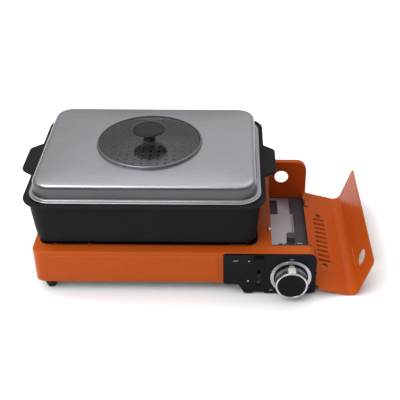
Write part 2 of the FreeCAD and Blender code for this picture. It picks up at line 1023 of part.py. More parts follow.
def canister_yoke():
    z = ("CanHeight - YokeHalf", "CanHeight + YokeRise")
    plate = block(
        "YokePlate",
        ("CanX - YokeHalf", "CanX + YokeHalf"),
        (YOKE_FACE, "%s + PlateThick" % YOKE_FACE),
        z,
    )
    hole = rod(
        "YokeHole",
        ("CanX", "%s - Gauge" % YOKE_FACE, "CanHeight"),
        "y",
        "NozzleRadius + 2 * Gauge",
        "PlateThick + 2 * Gauge",
    )
    arm_x = ("CanX - YokeHalf - YokeBar", "CanX - YokeHalf")
    arm_z = ("CanHeight - YokeHalf", "CanHeight - YokeHalf + YokeBar")
    front = "%s + SlideClear + YokeGap" % LINK_BACK
    arm = block("YokeArm", arm_x, (front, "%s + PlateThick" % YOKE_FACE), arm_z)
    bar = block(
        "YokeCross",
        ("LeverX - LeverWidth / 3", "CanX - YokeHalf"),
        (front, "%s + YokeBar" % front),
        arm_z,
    )
    return node(fuse("CanisterYoke", cut("YokeFrame", plate, hole), arm, bar), "canister_yoke")


KEY_LOW = "(CanHeight + RegulatorRadius - 2 * Gauge)"


def regulator_bracket():
    """The plate that holds the regulator, with the key that meets the collar's notch on top."""
    plate = block(
        "BracketPlate",
        ("CanX - PlateHalf", "CanX + PlateHalf"),
        ("-RegulatorFace", "-RegulatorFace + PlateThick"),
        (FLOOR, KEY_LOW),
    )
    key_x = ("CanX - KeyHalf", "CanX + KeyHalf")
    key_back = "-RegulatorFace + KeyReach"
    tongue = block(
        "KeyTongue",
        key_x,
        ("-RegulatorFace", key_back),
        ("%s - KeyTongue" % KEY_LOW, KEY_LOW),
    )
    key = block(
        "GuideKey",
        key_x,
        ("-RegulatorFace + KeyStart", key_back),
        (KEY_LOW, "%s + KeyHeight" % KEY_LOW),
    )
    hole = rod(
        "BracketHole",
        ("CanX", "-RegulatorFace - Gauge", "CanHeight"),
        "y",
        "NozzleRadius + RunClear",
        "PlateThick + 2 * Gauge",
    )
    slot = block(
        "BracketSlot",
        ("CanX - PlateHalf - Gauge", "CanX - YokeHalf + Gauge"),
        ("-RegulatorFace - Gauge", "-RegulatorFace + PlateThick + Gauge"),
        ("CanHeight - YokeHalf - Gauge", "CanHeight - YokeHalf + YokeBar + Gauge"),
    )
    solid = fuse("BracketSolid", plate, tongue, key)
    return node(carve("RegulatorBracket", solid, hole, slot), "regulator_bracket")


def regulator_body():
    drum = rod(
        "RegulatorDrum",
        ("CanX", "-RegulatorFace - RegulatorLength", "CanHeight"),
        "y",
        "RegulatorRadius - 2 * Gauge",
        "RegulatorLength",
    )
    boss = rod(
        "RegulatorBoss",
        ("KnobX", "-BodyDepth / 2 + Gauge", "KnobHeight"),
        "y",
        "BossRadius",
        "BodyDepth / 2 - Gauge - RegulatorFace - RegulatorLength / 2",
    )
    nozzle = rod(
        "Nozzle",
        ("CanX", "-RegulatorFace - Gauge", "CanHeight"),
        "y",
        "NozzleRadius",
        "PlateThick + NozzleLength + Gauge - SlideClear",
    )
    solid = fuse("RegulatorSolid", drum, boss, nozzle)
    socket = rod(
        "Socket",
        ("CanX", "%s - SlideClear - SocketDepth" % YOKE_FACE, "CanHeight"),
        "y",
        "SocketRadius",
        "SocketDepth + Gauge",
    )
    bore = rod(
        "StemBore",
        ("KnobX", "-BodyDepth / 2", "KnobHeight"),
        "y",
        "StemRadius + RunClear",
        "(%s) + BodyDepth / 2 + SlideClear" % VALVE_END,
    )
    outlet = rod(
        "Outlet",
        ("0", "-PipeY", "PipeHeight"),
        "x",
        "PipeRadius + RunClear",
        "CanX - RegulatorRadius / 2",
    )
    return node(carve("RegulatorBody", solid, socket, bore, outlet), "regulator_body")


def regulator_cap():
    """The round lid of the diaphragm, on the back of the drum, in front of the bracket."""
    place = ("CanX", "-RegulatorFace - RegulatorLength - 2 * Gauge", "CanHeight")
    disc = rod("CapDisc", place, "y", "RegulatorRadius", "2 * Gauge")
    hole = rod(
        "CapHole1",
        ("KnobX", "-RegulatorFace - RegulatorLength - 3 * Gauge", "KnobHeight"),
        "y",
        "BossRadius + RunClear",
        "4 * Gauge",
    )
    screws = []
    for number in range(3):
        turn = "(%d) * 1deg" % (30 + 60 * number)
        x = "CanX + (RegulatorRadius - 3 * Gauge) * cos(%s)" % turn
        z = "CanHeight + (RegulatorRadius - 3 * Gauge) * sin(%s)" % turn
        screws.append((x, z))
    holes = [
        rod(
            "CapScrewHole%d" % i,
            (x, "-RegulatorFace - RegulatorLength - 3 * Gauge", z),
            "y",
            "CapScrewRadius",
            "4 * Gauge",
        )
        for i, (x, z) in enumerate(screws)
    ]
    node(carve("RegulatorCap", disc, hole, *holes), "regulator_cap")
    heads = []
    for i, (x, z) in enumerate(screws):
        face = "-RegulatorFace - RegulatorLength - 2 * Gauge"
        heads.append(
            rod(
                "CapScrewHead%d" % i,
                (x, "%s - HeadHeight" % face, z),
                "y",
                "CapScrewRadius * 1.8",
                "HeadHeight",
            ),
        )
        heads.append(
            rod("CapScrewShank%d" % i, (x, "%s - Gauge" % face, z), "y", "CapScrewRadius", "3 * Gauge"),
        )
    return node(fuse("RegulatorScrews", *heads), "regulator_screws")


def piezo_igniter():
    x = "CanX + RegulatorRadius"
    return node(
        block(
            "PiezoIgniter",
            (x, "%s + PiezoWidth" % x),
            (FRONT, "-BodyDepth / 2 + PiezoLength"),
            ("BoxBottom + Gauge", "BoxBottom + Gauge + PiezoHeight"),
        ),
        "piezo_igniter",
    )


def gas_pipe():
    start = ("InjectorRight - InjectorLength / 2", "-PipeY", "PipeHeight")
    length = "CanX - RegulatorRadius / 2 - Gauge - InjectorRight + InjectorLength / 2"
    return node(rod("GasPipe", start, "x", "PipeRadius", length), "gas_pipe")


def injector():
    start = ("InjectorRight - InjectorLength", "-PipeY", "PipeHeight")
    solid = rod("InjectorSolid", start, "x", "InjectorRadius", "InjectorLength")
    seat = rod(
        "InjectorSeat",
        ("InjectorRight - InjectorLength / 2", "-PipeY", "PipeHeight"),
        "x",
        "PipeRadius + RunClear",
        "InjectorLength",
    )
    jet = rod(
        "InjectorJet",
        ("InjectorRight - 2 * InjectorLength", "-PipeY", "PipeHeight"),
        "x",
        "ElectrodeRadius",
        "2 * InjectorLength",
    )
    return node(carve("Injector", solid, seat, jet), "injector")


def tube_path(name, radius, over):
    """The route of the mixing tube as a straight, a quarter bend and a straight."""
    x = "BurnerX + TubeBend"
    run = "InjectorRight - InjectorLength - (%s) + (%s)" % (x, over)
    rise = "PipeY - TubeBend - BurnerRadius + BurnerWall + (%s)" % over
    return fuse(
        name,
        rod(name + "Run", (x, "-PipeY", "PipeHeight"), "x", radius, run),
        elbow(name + "Bend", (x, "-PipeY + TubeBend", "PipeHeight"), "TubeBend", radius, 180),
        rod(name + "Rise", ("BurnerX", "-PipeY + TubeBend", "PipeHeight"), "y", radius, rise),
    )


def mixing_tube():
    wall = tube_path("TubeOuter", "TubeRadius", "0")
    bore = tube_path("TubeInner", "TubeRadius - TubeWall", "Gauge")
    seat = ring(
        "TubeCollar",
        ("InjectorRight - InjectorLength", "-PipeY", "PipeHeight"),
        "x",
        "TubeRadius",
        "InjectorRadius",
        "InjectorLength / 2",
        "Gauge",
    )
    return node(fuse("MixingTube", cut("TubePipe", wall, bore), seat), "mixing_tube")


def burner_base():
    cup = rod(
        "BurnerCup",
        ("BurnerX", "0", "BurnerBottom"),
        "z",
        "BurnerRadius",
        "BurnerTop - BurnerBottom",
    )
    lug = block(
        "BurnerLug",
        ("BurnerX + BurnerRadius - BurnerWall", "BurnerX + ElectrodeReach + InsulatorRadius + Gauge"),
        ("-InsulatorRadius - Gauge", "InsulatorRadius + Gauge"),
        ("BurnerTop - InsulatorHeight", "BurnerTop - InsulatorHeight + 4 * Gauge"),
    )
    leg = ring(
        "BurnerLeg",
        ("BurnerX", "0", "BoxBottom + Gauge"),
        "z",
        "BurnerRadius / 2",
        "BurnerRadius / 2 - BurnerWall",
        "Gauge",
        "Gauge",
    )
    solid = fuse("BurnerSolid", cup, lug, leg)
    well = rod(
        "BurnerWell",
        ("BurnerX", "0", "BurnerBottom + BurnerWall"),
        "z",
        "BurnerRadius - BurnerWall",
        "BurnerTop",
    )
    inlet = rod(
        "BurnerInlet",
        ("BurnerX", "-2 * BurnerRadius", "PipeHeight"),
        "y",
        "TubeRadius + RunClear",
        "2 * BurnerRadius",
    )
    seat = rod(
        "InsulatorSeat",
        ("BurnerX + ElectrodeReach", "0", "BoxBottom"),
        "z",
        "InsulatorRadius + RunClear",
        "BurnerTop",
    )
    return node(carve("BurnerBase", solid, well, inlet, seat), "burner_base")


def burner_cap():
    body = new_body("BurnerCapBody")
    add_rod(body, "CapRing", ("0", "0", "0"), "z", "BurnerRadius + Gauge", "CapHeight")
    take_rod(body, "CapEye", ("0", "0", "-Gauge"), "z", "CapHole", "CapHeight + 2 * Gauge")
    slot = take_box(
        body,
        "Port",
        ("BurnerRadius - 2 * BurnerWall", "BurnerRadius + 3 * Gauge"),
        ("-PortWidth / 2", "PortWidth / 2"),
        ("CapHeight / 2 - PortHeight / 2", "CapHeight / 2 + PortHeight / 2"),
    )
    doc.recompute()
    ports = body.newObject("PartDesign::PolarPattern", "Ports")
    ports.Originals = [slot]
    ports.Axis = ([item for item in body.Origin.OriginFeatures if item.Role == "Z_Axis"][0], [""])
    ports.Angle = 360
    tie(ports, Occurrences="PortCount")
    body.Tip = ports
    stand(body, "BurnerX", "0", "BurnerTop")
    return node(body, "burner_cap")


def igniter():
    x = "BurnerX + ElectrodeReach"
    low = "BurnerTop - InsulatorHeight - Gauge"
    solid = rod("InsulatorRod", (x, "0", low), "z", "InsulatorRadius", "InsulatorHeight")
    collar = rod(
        "InsulatorCollar",
        (x, "0", "BurnerTop - InsulatorHeight + 4 * Gauge"),
        "z",
        "InsulatorRadius + Gauge",
        "2 * Gauge",
    )
    wire_hole = rod(
        "InsulatorHole",
        (x, "0", "%s - Gauge" % low),
        "z",
        "ElectrodeRadius",
        "InsulatorHeight + 2 * Gauge",
    )
    node(cut("IgniterInsulator", fuse("InsulatorSolid", solid, collar), wire_hole), "igniter_insulator")
    wire = rod(
        "ElectrodeWire",
        (x, "0", low),
        "z",
        "ElectrodeRadius",
        "InsulatorHeight + CapHeight / 2",
    )
    tip_height = "%s + InsulatorHeight + CapHeight / 2 - ElectrodeRadius" % low
    tip = rod(
        "ElectrodeTip",
        ("BurnerX + BurnerRadius + 2 * Gauge", "0", tip_height),
        "x",
        "ElectrodeRadius",
        "ElectrodeReach - BurnerRadius - 2 * Gauge",
    )
    return node(fuse("IgniterElectrode", wire, tip), "igniter_electrode")


def rounded_block(name, x, y, z, corner, foot=None):
    """A box with rounded upright edges and, where asked for, a rounded foot."""
    body = new_body(name)
    add_box(body, name + "Block", x, y, z)
    round_edges(body, name + "Corners", upright, corner)
    if foot:
        round_edges(
            body,
            name + "Foot",
            lambda e: near(e.BoundBox.ZMax, body.Shape.BoundBox.ZMin),
            foot,
        )
    return body


def drip_tray():
    inset = "(SheetClear + TrayGauge)"
    dish = rounded_block(
        "Dish",
        ("-WellLeft + SheetClear", "WellRight - SheetClear"),
        ("-WellHalf + SheetClear", "WellHalf - SheetClear"),
        ("DeckHeight - TrayDepth", "DeckHeight + Gauge / 2"),
        "WellCorner",
        "WellCorner / 3",
    )
    rim = rounded_block(
        "TrayRimSheet",
        ("-WellLeft - TrayRim", "WellRight + TrayRim"),
        ("-WellHalf - TrayRim", "WellHalf + TrayRim"),
        ("DeckHeight", "DeckHeight + Gauge"),
        "WellCorner + TrayRim",
    )
    inside = rounded_block(
        "DishInside",
        ("-WellLeft + %s" % inset, "WellRight - %s" % inset),
        ("-WellHalf + %s" % inset, "WellHalf - %s" % inset),
        ("DeckHeight - TrayDepth + TrayGauge", "DeckHeight + 2 * Gauge"),
        "WellCorner - TrayGauge",
        "WellCorner / 3 - TrayGauge",
    )
    eye = rod(
        "BurnerEye",
        ("BurnerX", "0", "DeckHeight - TrayDepth - Gauge"),
        "z",
        "TrayHole",
        "TrayDepth / 2",
    )
    holes = [
        rod(
            "RimScrewHole%d" % i,
            well_screw_place(x, side, "DeckHeight - Gauge"),
            "z",
            "ScrewRadius + ScrewClear",
            "4 * Gauge",
        )
        for i, (x, side) in enumerate(WELL_SCREWS)
    ]
    return node(carve("DripTray", fuse("TraySheet", dish, rim), inside, eye, *holes), "drip_tray")


def screw(name, place, shank, up=True):
    """A round headed screw, its head seated at the given height."""
    x, y, seat = place
    head_low = seat if up else "%s - HeadHeight" % seat
    shank_low = "%s - (%s)" % (seat, shank) if up else seat
    head = rod(name + "Head", (x, y, head_low), "z", "HeadRadius", "HeadHeight")
    body = rod(name + "Shank", (x, y, shank_low), "z", "ScrewRadius", shank)
    return fuse(name, head, body)


def well_screws():
    screws = []
    for number, (x, side) in enumerate(WELL_SCREWS):
        place = well_screw_place(x, side, "DeckHeight + Gauge")
        screws.append(screw("WellScrew%d" % number, place, "4 * Gauge"))
    return node(fuse("WellScrews", *screws), "well_screws")


def tray_clip():
    low = "DeckHeight + Gauge"
    plate = block(
        "ClipPlate",
        ("ClipLeft", "ClipRight"),
        ("-WellHalf - TrayRim + SheetClear", "-WellHalf - TrayRim + SheetClear + ClipWidth"),
        (low, "%s + TrayGauge" % low),
    )
    return node(plate, "tray_clip")


def foot_places():
    return (("front", "-1"), ("rear", "1"))


def feet():
    screws = []
    for name, side in foot_places():
        x = "-LeftReach + FootSide"
        y = "(BodyDepth / 2 - FootInset) * (%s)" % side
        solid = cone("Foot_%s" % name, (x, y, "0"), "FootTip", "FootTop", "BoxBottom")
        hole = rod("FootHole_%s" % name, (x, y, "BoxBottom / 3"), "z", "ScrewRadius", "BoxBottom")
        node(cut("FootCut_%s" % name, solid, hole), "foot_%s_left" % name)
        screws.append(
            screw("FootScrew_%s" % name, (x, y, "BoxBottom + Gauge"), "BoxBottom * 2 / 3 + Gauge"),
        )
    node(fuse("FootScrews", *screws), "foot_screws")
    for name, side in foot_places():
        y = "(BodyDepth / 2 - 2 * PadInset) * (%s)" % side
        for hand, x in (("left", "Partition + PadInset"), ("right", "RightReach - PadInset")):
            node(
                rod("Pad_%s_%s" % (name, hand), (x, y, "0"), "z", "PadRadius", "TrayClear"),
                "pad_%s_%s" % (name, hand),
            )


SLOPE_ARM = "(SideLength - CoverBend * tan(CoverTurn / 2 * 1deg))"
DROP = "(HingeHeight - CoverBend - CoverRest)"
OPEN_SLOPE = "(atan(CoverBend / %s) + asin(%s / sqrt(%s ^ 2 + CoverBend ^ 2)))" % (
    SLOPE_ARM,
    DROP,
    SLOPE_ARM,
)


def canister_cover():
    """The bent cover in its open pose, its side panel sloping down to the table."""
    body = new_body("CanisterCover")
    turn = "(CoverTurn * 1deg)"
    tip = ("SideLength + FlapLength * cos(%s)" % turn, "FlapLength * sin(%s)" % turn)
    points = [
        ("CoverEdge", "0"),
        ("SideLength", "0"),
        tip,
        ("%s - Gauge * sin(%s)" % (tip[0], turn), "%s + Gauge * cos(%s)" % (tip[1], turn)),
        ("SideLength - Gauge * tan(%s / 2)" % turn, "Gauge"),
        ("CoverEdge", "Gauge"),
    ]
    profile = outline(body, "CoverProfile", "XZ_Plane", points)
    pad(body, "CoverSheet", profile, "CoverFront + BayBack - CoverRearClear")
    side = size("SideLength")
    gauge = size("Gauge")
    round_edges(
        body, "BendOutside", lambda e: along(e, "y") and near(
            e.BoundBox.XMin,
            side,
        ) and near(e.BoundBox.ZMax, 0), "CoverBend"
    )
    turn_value = math.radians(size("CoverTurn"))
    inside = side - gauge * math.tan(turn_value / 2)
    round_edges(
        body,
        "BendInside",
        lambda e: along(e, "y") and near(e.BoundBox.XMin, inside) and near(e.BoundBox.ZMax, gauge),
        "CoverBend - Gauge",
    )
    high = size("FlapLength") * math.sin(turn_value)
    round_edges(
        body,
        "FlapCorners",
        lambda e: not along(e, "y") and e.Length < 1.01 * gauge and e.BoundBox.ZMin > high - 2 * gauge,
        "CoverCorner",
    )
    length = "CoverFront + BayBack - CoverRearClear"
    rear = "BayBack - CoverRearClear"
    hole = body.newObject("PartDesign::SubtractiveCylinder", "FlapHole")
    flap_turn = FreeCAD.Rotation(FreeCAD.Vector(0, -1, 0), size("CoverTurn"))
    hole.Placement = FreeCAD.Placement(FreeCAD.Vector(), flap_turn)
    tie(hole, Radius="FlapHoleRadius", Height="4 * Gauge", Placement_Rotation_Angle=turn)
    stand(
        hole,
        "SideLength + FlapHoleAlong * cos(%s) + 2 * Gauge * sin(%s)" % (turn, turn),
        "-FlapHoleY - %s" % rear,
        "FlapHoleAlong * sin(%s) - 2 * Gauge * cos(%s)" % (turn, turn),
    )
    bead = body.newObject("PartDesign::AdditiveCylinder", "FlapBead")
    shape_rod(
        bead,
        (
            "SideLength + BeadAlong * cos(%s) - Gauge * sin(%s)" % (turn, turn),
            "-BeadFront - (%s)" % rear,
            "BeadAlong * sin(%s) + Gauge * cos(%s)" % (turn, turn),
        ),
        "y",
        "BeadRadius",
        "BeadLength",
    )
    for name, y in (
        ("VentHoleRear", "VentRear"),
        ("VentHoleFront", "VentRear - (VentCount + 1) * VentPitch"),
    ):
        place = ("VentStart + VentLength / 2", "%s - (%s)" % (y, rear), "-Gauge")
        take_rod(body, name, place, "z", "VentHole", "3 * Gauge")
    slot_y = "VentRear - VentPitch - (%s)" % rear
    slot = take_box(
        body,
        "VentSlot",
        ("VentStart", "VentStart + VentLength"),
        ("%s - VentWidth / 2" % slot_y, "%s + VentWidth / 2" % slot_y),
        ("-Gauge", "2 * Gauge"),
    )
    doc.recompute()
    slots = body.newObject("PartDesign::LinearPattern", "VentSlots")
    slots.Originals = [slot]
    slots.Direction = ([item for item in body.Origin.OriginFeatures if item.Role == "Y_Axis"][0], [""])
    slots.Reversed = True
    tie(slots, Length="VentPitch * (VentCount - 1)", Occurrences="VentCount")
    body.Tip = slots
    for number, middle in enumerate(hinge_sides()):
        start = "%s - KnuckleLength / 2 - (%s)" % (middle, rear)
        add_box(
            body,
            "KnuckleTab%d" % number,
            ("PinRadius + Gauge", "CoverEdge + Gauge"),
            (start, "%s + KnuckleLength" % start),
            ("0", "Gauge"),
        )
        add_rod(body, "Knuckle%d" % number, ("0", start, "0"), "y", "KnuckleRadius", "KnuckleLength")
    gap = "(KnuckleLength / 2 + SlideClear + EarThick + Gauge / 2)"
    for name, y in (
        ("Front", ("-BodyDepth / 2 + 2 * Gauge", "-HingePlace - %s" % gap)),
        ("Middle", ("-HingePlace + %s" % gap, "HingePlace - %s" % gap)),
        ("Rear", ("HingePlace + %s" % gap, rear)),
    ):
        ends = tuple("%s - (%s)" % (end, rear) for end in y)
        add_box(body, "Hem" + name, ("-HemReach", "CoverEdge + Gauge"), ends, ("0", "Gauge"))
    for number, middle in enumerate(hinge_sides()):
        start = "%s - KnuckleLength / 2 - Gauge - (%s)" % (middle, rear)
        take_rod(
            body,
            "KnuckleBore%d" % number,
            ("0", start, "0"),
            "y",
            "PinRadius + RunClear",
            "KnuckleLength + 2 * Gauge",
        )
    body.Placement = FreeCAD.Placement(FreeCAD.Vector(), FreeCAD.Rotation(FreeCAD.Vector(0, 1, 0), 10))
    tie(body, Placement_Rotation_Angle=OPEN_SLOPE)
    stand(body, "HingeX", rear, "HingeHeight")
    return node(body, "canister_cover")


def pan_support():
    z = ("DeckHeight + Gauge", "DeckHeight + Gauge + SupportHeight")
    bars = []
    for number, side in enumerate(("-1", "1")):
        y = "SupportY * (%s)" % side
        bars.append(
            block(
                "LongBar%d" % number,
                ("-WellLeft - TrayRim / 2", "WellRight + TrayRim / 2"),
                ("%s - SupportThick / 2" % y, "%s + SupportThick / 2" % y),
                z,
            )
        )
        x = "BurnerX + SupportX * (%s)" % side
        bars.append(
            block(
                "CrossBar%d" % number,
                ("%s - SupportThick / 2" % x, "%s + SupportThick / 2" % x),
                ("-WellHalf - TrayRim / 2", "WellHalf + TrayRim / 2"),
                z,
            )
        )
    return node(fuse("PanSupport", *bars), "pan_support")


def wedge(body, kind, name, foot_x, foot_y, top_x, top_y, low, high):
    """A block with sloping sides, its half widths given at its foot and top."""
    thing = body.newObject(kind, name)
    thing.Placement = FreeCAD.Placement(FreeCAD.Vector(), FreeCAD.Rotation(FreeCAD.Vector(1, 0, 0), 90))
    thing.Ymin = 0
    tie(thing, Ymax="(%s) - (%s)" % (high, low))
    tie(thing, Xmin="-(%s)" % foot_x, Xmax=foot_x, Zmin="-(%s)" % foot_y, Zmax=foot_y)
    tie(thing, X2min="-(%s)" % top_x, X2max=top_x, Z2min="-(%s)" % top_y, Z2max=top_y)
    stand(thing, "PotX", "0", low)
    return thing


POT_LOW = "DeckHeight + Gauge + SupportHeight"
POT_TOP = "DeckHeight + Gauge + SupportHeight + PotHeight"


def pot_top():
    return size("DeckHeight") + size("Gauge") + size("SupportHeight") + size("PotHeight")


def sloping(edge):
    return abs(edge.tangentAt(edge.FirstParameter).z) > 0.9


def pot_block(name, inset, lift, corner, foot):
    """The pot's outer or inner shape: sloping walls, rounded corners and a rounded foot."""
    body = new_body(name)
    block_in = wedge(
        body,
        "PartDesign::AdditiveWedge",
        name + "Wedge",
        "PotFootX - (%s)" % inset,
        "PotFootY - (%s)" % inset,
        "PotHalfX - (%s)" % inset,
        "PotHalfY - (%s)" % inset,
        "%s + (%s)" % (POT_LOW, lift),
        "%s + (%s)" % (POT_TOP, lift),
    )
    round_edges(body, name + "Corners", sloping, corner)
    low = block_in.Shape.BoundBox.ZMin
    round_edges(body, name + "Foot", lambda e: level(e, low), foot)
    return body


def pot():
    outer = pot_block("PotOuter", "0", "0", "PotCorner", "PotRound")
    inner = pot_block("PotInner", "PotWall", "PotWall", "PotCorner - PotWall", "PotRound - PotWall")
    rim = rounded_block(
        "PotRim",
        ("PotX - PotHalfX - RimWidth", "PotX + PotHalfX + RimWidth"),
        ("-PotHalfY - RimWidth", "PotHalfY + RimWidth"),
        ("%s - RimThick" % POT_TOP, POT_TOP),
        "RimCorner",
    )
    lugs = []
    for name, side in (("Left", -1), ("Right", 1)):
        body = new_body("Lug" + name)
        edge = "PotX + (PotHalfX + RimWidth) * (%d)" % side
        root = "%s - (%d) * RimWidth" % (edge, side)
        tip = "%s + LugReach * (%d)" % (edge, side)
        points = [(root, "-LugRoot"), (tip, "-LugTip"), (tip, "LugTip"), (root, "LugRoot")]
        pad(body, name + "LugPad", outline(body, name + "LugOutline", "XY_Plane", points), "LugThick")
        reach = size("PotX") + (size("PotHalfX") + size("RimWidth") + size("LugReach")) * side
        round_edges(
            body,
            name + "LugCorners",
            lambda e: upright(e) and near(e.BoundBox.XMin, reach),
            "LugCorner",
        )
        stand(body, "0", "0", "%s - LugThick" % POT_TOP)
        lugs.append(body)
    return node(cut("Pot", fuse("PotSolid", outer, rim, *lugs), inner), "pot")


def steam_rack():
    top = "%s + PotWall + RackHeight" % POT_LOW
    body = new_body("SteamRack")
    add_box(
        body,
        "RackSheet",
        ("PotX - PotFootX + PotWall + RackClear", "PotX + PotFootX - PotWall - RackClear"),
        ("-PotFootY + PotWall + RackClear", "PotFootY - PotWall - RackClear"),
        ("%s - RackGauge" % top, top),
    )
    round_edges(body, "RackCorners", upright, "RackCorner")
    for number, (side_x, side_y) in enumerate([(a, b) for a in (-1, 1) for b in (-1, 1)]):
        place = (
            "PotX + (PotFootX - PotWall - LegInset) * (%d)" % side_x,
            "(PotFootY - PotWall - LegInset) * (%d)" % side_y,
            "%s + PotWall" % POT_LOW,
        )
        add_rod(body, "RackLeg%d" % number, place, "z", "LegRadius", "RackHeight - RackGauge / 2")
    hole = take_rod(
        body,
        "RackHole1",
        (
            "PotX - RackPitch * (RackColumns - 1) / 2",
            "-RackPitch * (RackRows - 1) / 2",
            "%s - 2 * RackGauge" % top,
        ),
        "z",
        "RackHole",
        "3 * RackGauge",
    )
    doc.recompute()
    grid = body.newObject("PartDesign::MultiTransform", "RackHoles")
    across = body.newObject("PartDesign::LinearPattern", "RackAcross")
    across.Direction = ([item for item in body.Origin.OriginFeatures if item.Role == "X_Axis"][0], [""])
    tie(across, Length="RackPitch * (RackColumns - 1)", Occurrences="RackColumns")
    deep = body.newObject("PartDesign::LinearPattern", "RackDeep")
    deep.Direction = ([item for item in body.Origin.OriginFeatures if item.Role == "Y_Axis"][0], [""])
    tie(deep, Length="RackPitch * (RackRows - 1)", Occurrences="RackRows")
    grid.Originals = [hole]
    grid.Transformations = [across, deep]
    body.Tip = grid
    return node(body, "steam_rack")


LID_LOW = POT_TOP
CROWN_TOP = "%s + LidRise + CrownRise" % LID_LOW


def lid_shell():
    body = new_body("LidShell")
    low = pot_top()
    add_box(
        body,
        "LidDome",
        ("PotX - LidHalfX", "PotX + LidHalfX"),
        ("-LidHalfY", "LidHalfY"),
        (LID_LOW, "%s + LidRise" % LID_LOW),
    )
    round_edges(body, "LidCorners", upright, "LidCorner")
    round_edges(body, "LidShoulders", lambda e: level(e, low + size("LidRise")), "LidShoulder")
    crown = body.newObject("PartDesign::AdditiveCone", "Crown")
    tie(crown, Radius1="CrownRadius", Radius2="CrownTop", Height="CrownRise")
    stand(crown, "PotX", "0", "%s + LidRise" % LID_LOW)
    add_box(
        body,
        "LidFlangeSheet",
        ("PotX - LidHalfX - LidFlangeWidth", "PotX + LidHalfX + LidFlangeWidth"),
        ("-LidHalfY - LidFlangeWidth", "LidHalfY + LidFlangeWidth"),
        (LID_LOW, "%s + LidFlange" % LID_LOW),
    )
    flange_x = size("LidHalfX") + size("LidFlangeWidth")
    round_edges(
        body,
        "FlangeCorners",
        lambda e: upright(e) and near(abs(e.BoundBox.XMin - size("PotX")), flange_x),
        "LidCorner + LidFlangeWidth",
    )
    hollow(body, "LidSheet", lambda f: near(f.BoundBox.ZMax, low), "LidGauge")
    take_rod(
        body,
        "WindowOpening",
        ("PotX", "0", "%s + LidRise / 2" % LID_LOW),
        "z",
        "WindowHole",
        "LidRise + CrownRise",
    )
    return node(body, "lid_shell")


GLASS_LOW = "%s + GasketThick" % CROWN_TOP
GLASS_TOP = "%s + GlassThick" % GLASS_LOW


def window():
    gasket_place = ("PotX", "0", CROWN_TOP)
    node(
        ring("WindowGasket", gasket_place, "z", "GlassRadius", "WindowHole", "GasketThick", "Gauge"),
        "window_gasket",
    )
    glass_place = ("PotX", "0", GLASS_LOW)
    node(
        ring(
            "WindowGlass",
            glass_place,
            "z",
            "GlassRadius",
            "BoltRadius + ScrewClear",
            "GlassThick",
            "Gauge",
        ),
        "window_glass",
    )
    band = ring(
        "WindowBand",
        gasket_place,
        "z",
        "GlassRadius + RingWall",
        "GlassRadius",
        "GasketThick + GlassThick + RingRise",
        "Gauge",
    )
    lip_place = ("PotX", "0", GLASS_TOP)
    lip = ring(
        "WindowLip",
        lip_place,
        "z",
        "GlassRadius + RingWall / 2",
        "GlassRadius - RingWall",
        "RingRise",
        "Gauge",
    )
    node(fuse("WindowRing", band, lip), "window_ring")


def lid_knob():
    seat = "%s + WasherThick" % GLASS_TOP
    points = [
        ("BoltRadius", "0"),
        ("KnobBase", "0"),
        ("KnobBase", "LidKnobCap / 3"),
        ("KnobNeck", "LidKnobHeight / 2"),
        ("KnobNeck", "LidKnobHeight - LidKnobCap"),
        ("LidKnobRadius", "LidKnobHeight - LidKnobCap * 2 / 3"),
        ("LidKnobRadius", "LidKnobHeight - LidKnobCap / 5"),
        ("LidKnobRadius - LidKnobCap / 5", "LidKnobHeight"),
        ("0", "LidKnobHeight"),
        ("0", "LidKnobHeight - LidKnobCap"),
        ("BoltRadius", "LidKnobHeight - LidKnobCap"),
    ]
    node(turned("LidKnob", points, ("PotX", "0", seat)), "lid_knob")
    upper = ring(
        "WasherUpper",
        ("PotX", "0", GLASS_TOP),
        "z",
        "WasherRadius",
        "BoltRadius",
        "WasherThick",
        "Gauge",
    )
    lower_place = ("PotX", "0", "%s - WasherThick" % GLASS_LOW)
    lower = ring("WasherLower", lower_place, "z", "WasherRadius", "BoltRadius", "WasherThick", "Gauge")
    node(fuse("LidWashers", upper, lower), "lid_knob_washers")
    head = rod(
        "BoltHead",
        ("PotX", "0", "%s - WasherThick - HeadHeight" % GLASS_LOW),
        "z",
        "BoltRadius * 2",
        "HeadHeight",
    )
    bolt_length = "GlassThick + 2 * WasherThick + LidKnobHeight - LidKnobCap"
    shank = rod(
        "BoltShank",
        ("PotX", "0", "%s - WasherThick" % GLASS_LOW),
        "z",
        "BoltRadius",
        bolt_length,
    )
    return node(fuse("LidBolt", head, shank), "lid_knob_bolt")


BUILDERS = (
    top_shell,
    base_plate,
    bay_tray,
    hinge_pins,
    bay_rear_wall,
    rear_bracket,
    cover_latch,
    heat_plate,
    control_panel,
    dial_ring,
    knob_shell,
    knob_insert,
    knob_pointer,
    valve_stem,
    lever_head,
    lever_stem,
    canister_yoke,
    regulator_bracket,
    regulator_body,
    regulator_cap,
    piezo_igniter,
    gas_pipe,
    injector,
    mixing_tube,
    burner_base,
    burner_cap,
    igniter,
    drip_tray,
    well_screws,
    tray_clip,
    feet,
    canister_cover,
    pan_support,
    pot,
    steam_rack,
    lid_shell,
    window,
    lid_knob,
)

for build in BUILDERS:
    build()
doc.recompute()

faults = [item.Name for item in doc.Objects if "Invalid" in item.State or "Error" in item.State]
for item in NODES:
    if item.Shape.isNull() or not item.Shape.isValid():
        faults.append(item.Label)
if faults:
    raise RuntimeError("These objects did not build: " + ", ".join(faults))

os.makedirs("parts", exist_ok=True)
for item in NODES:
    item.Shape.exportStep("parts/%s.step" % item.Label)
print("%d sub-parts written" % len(NODES))
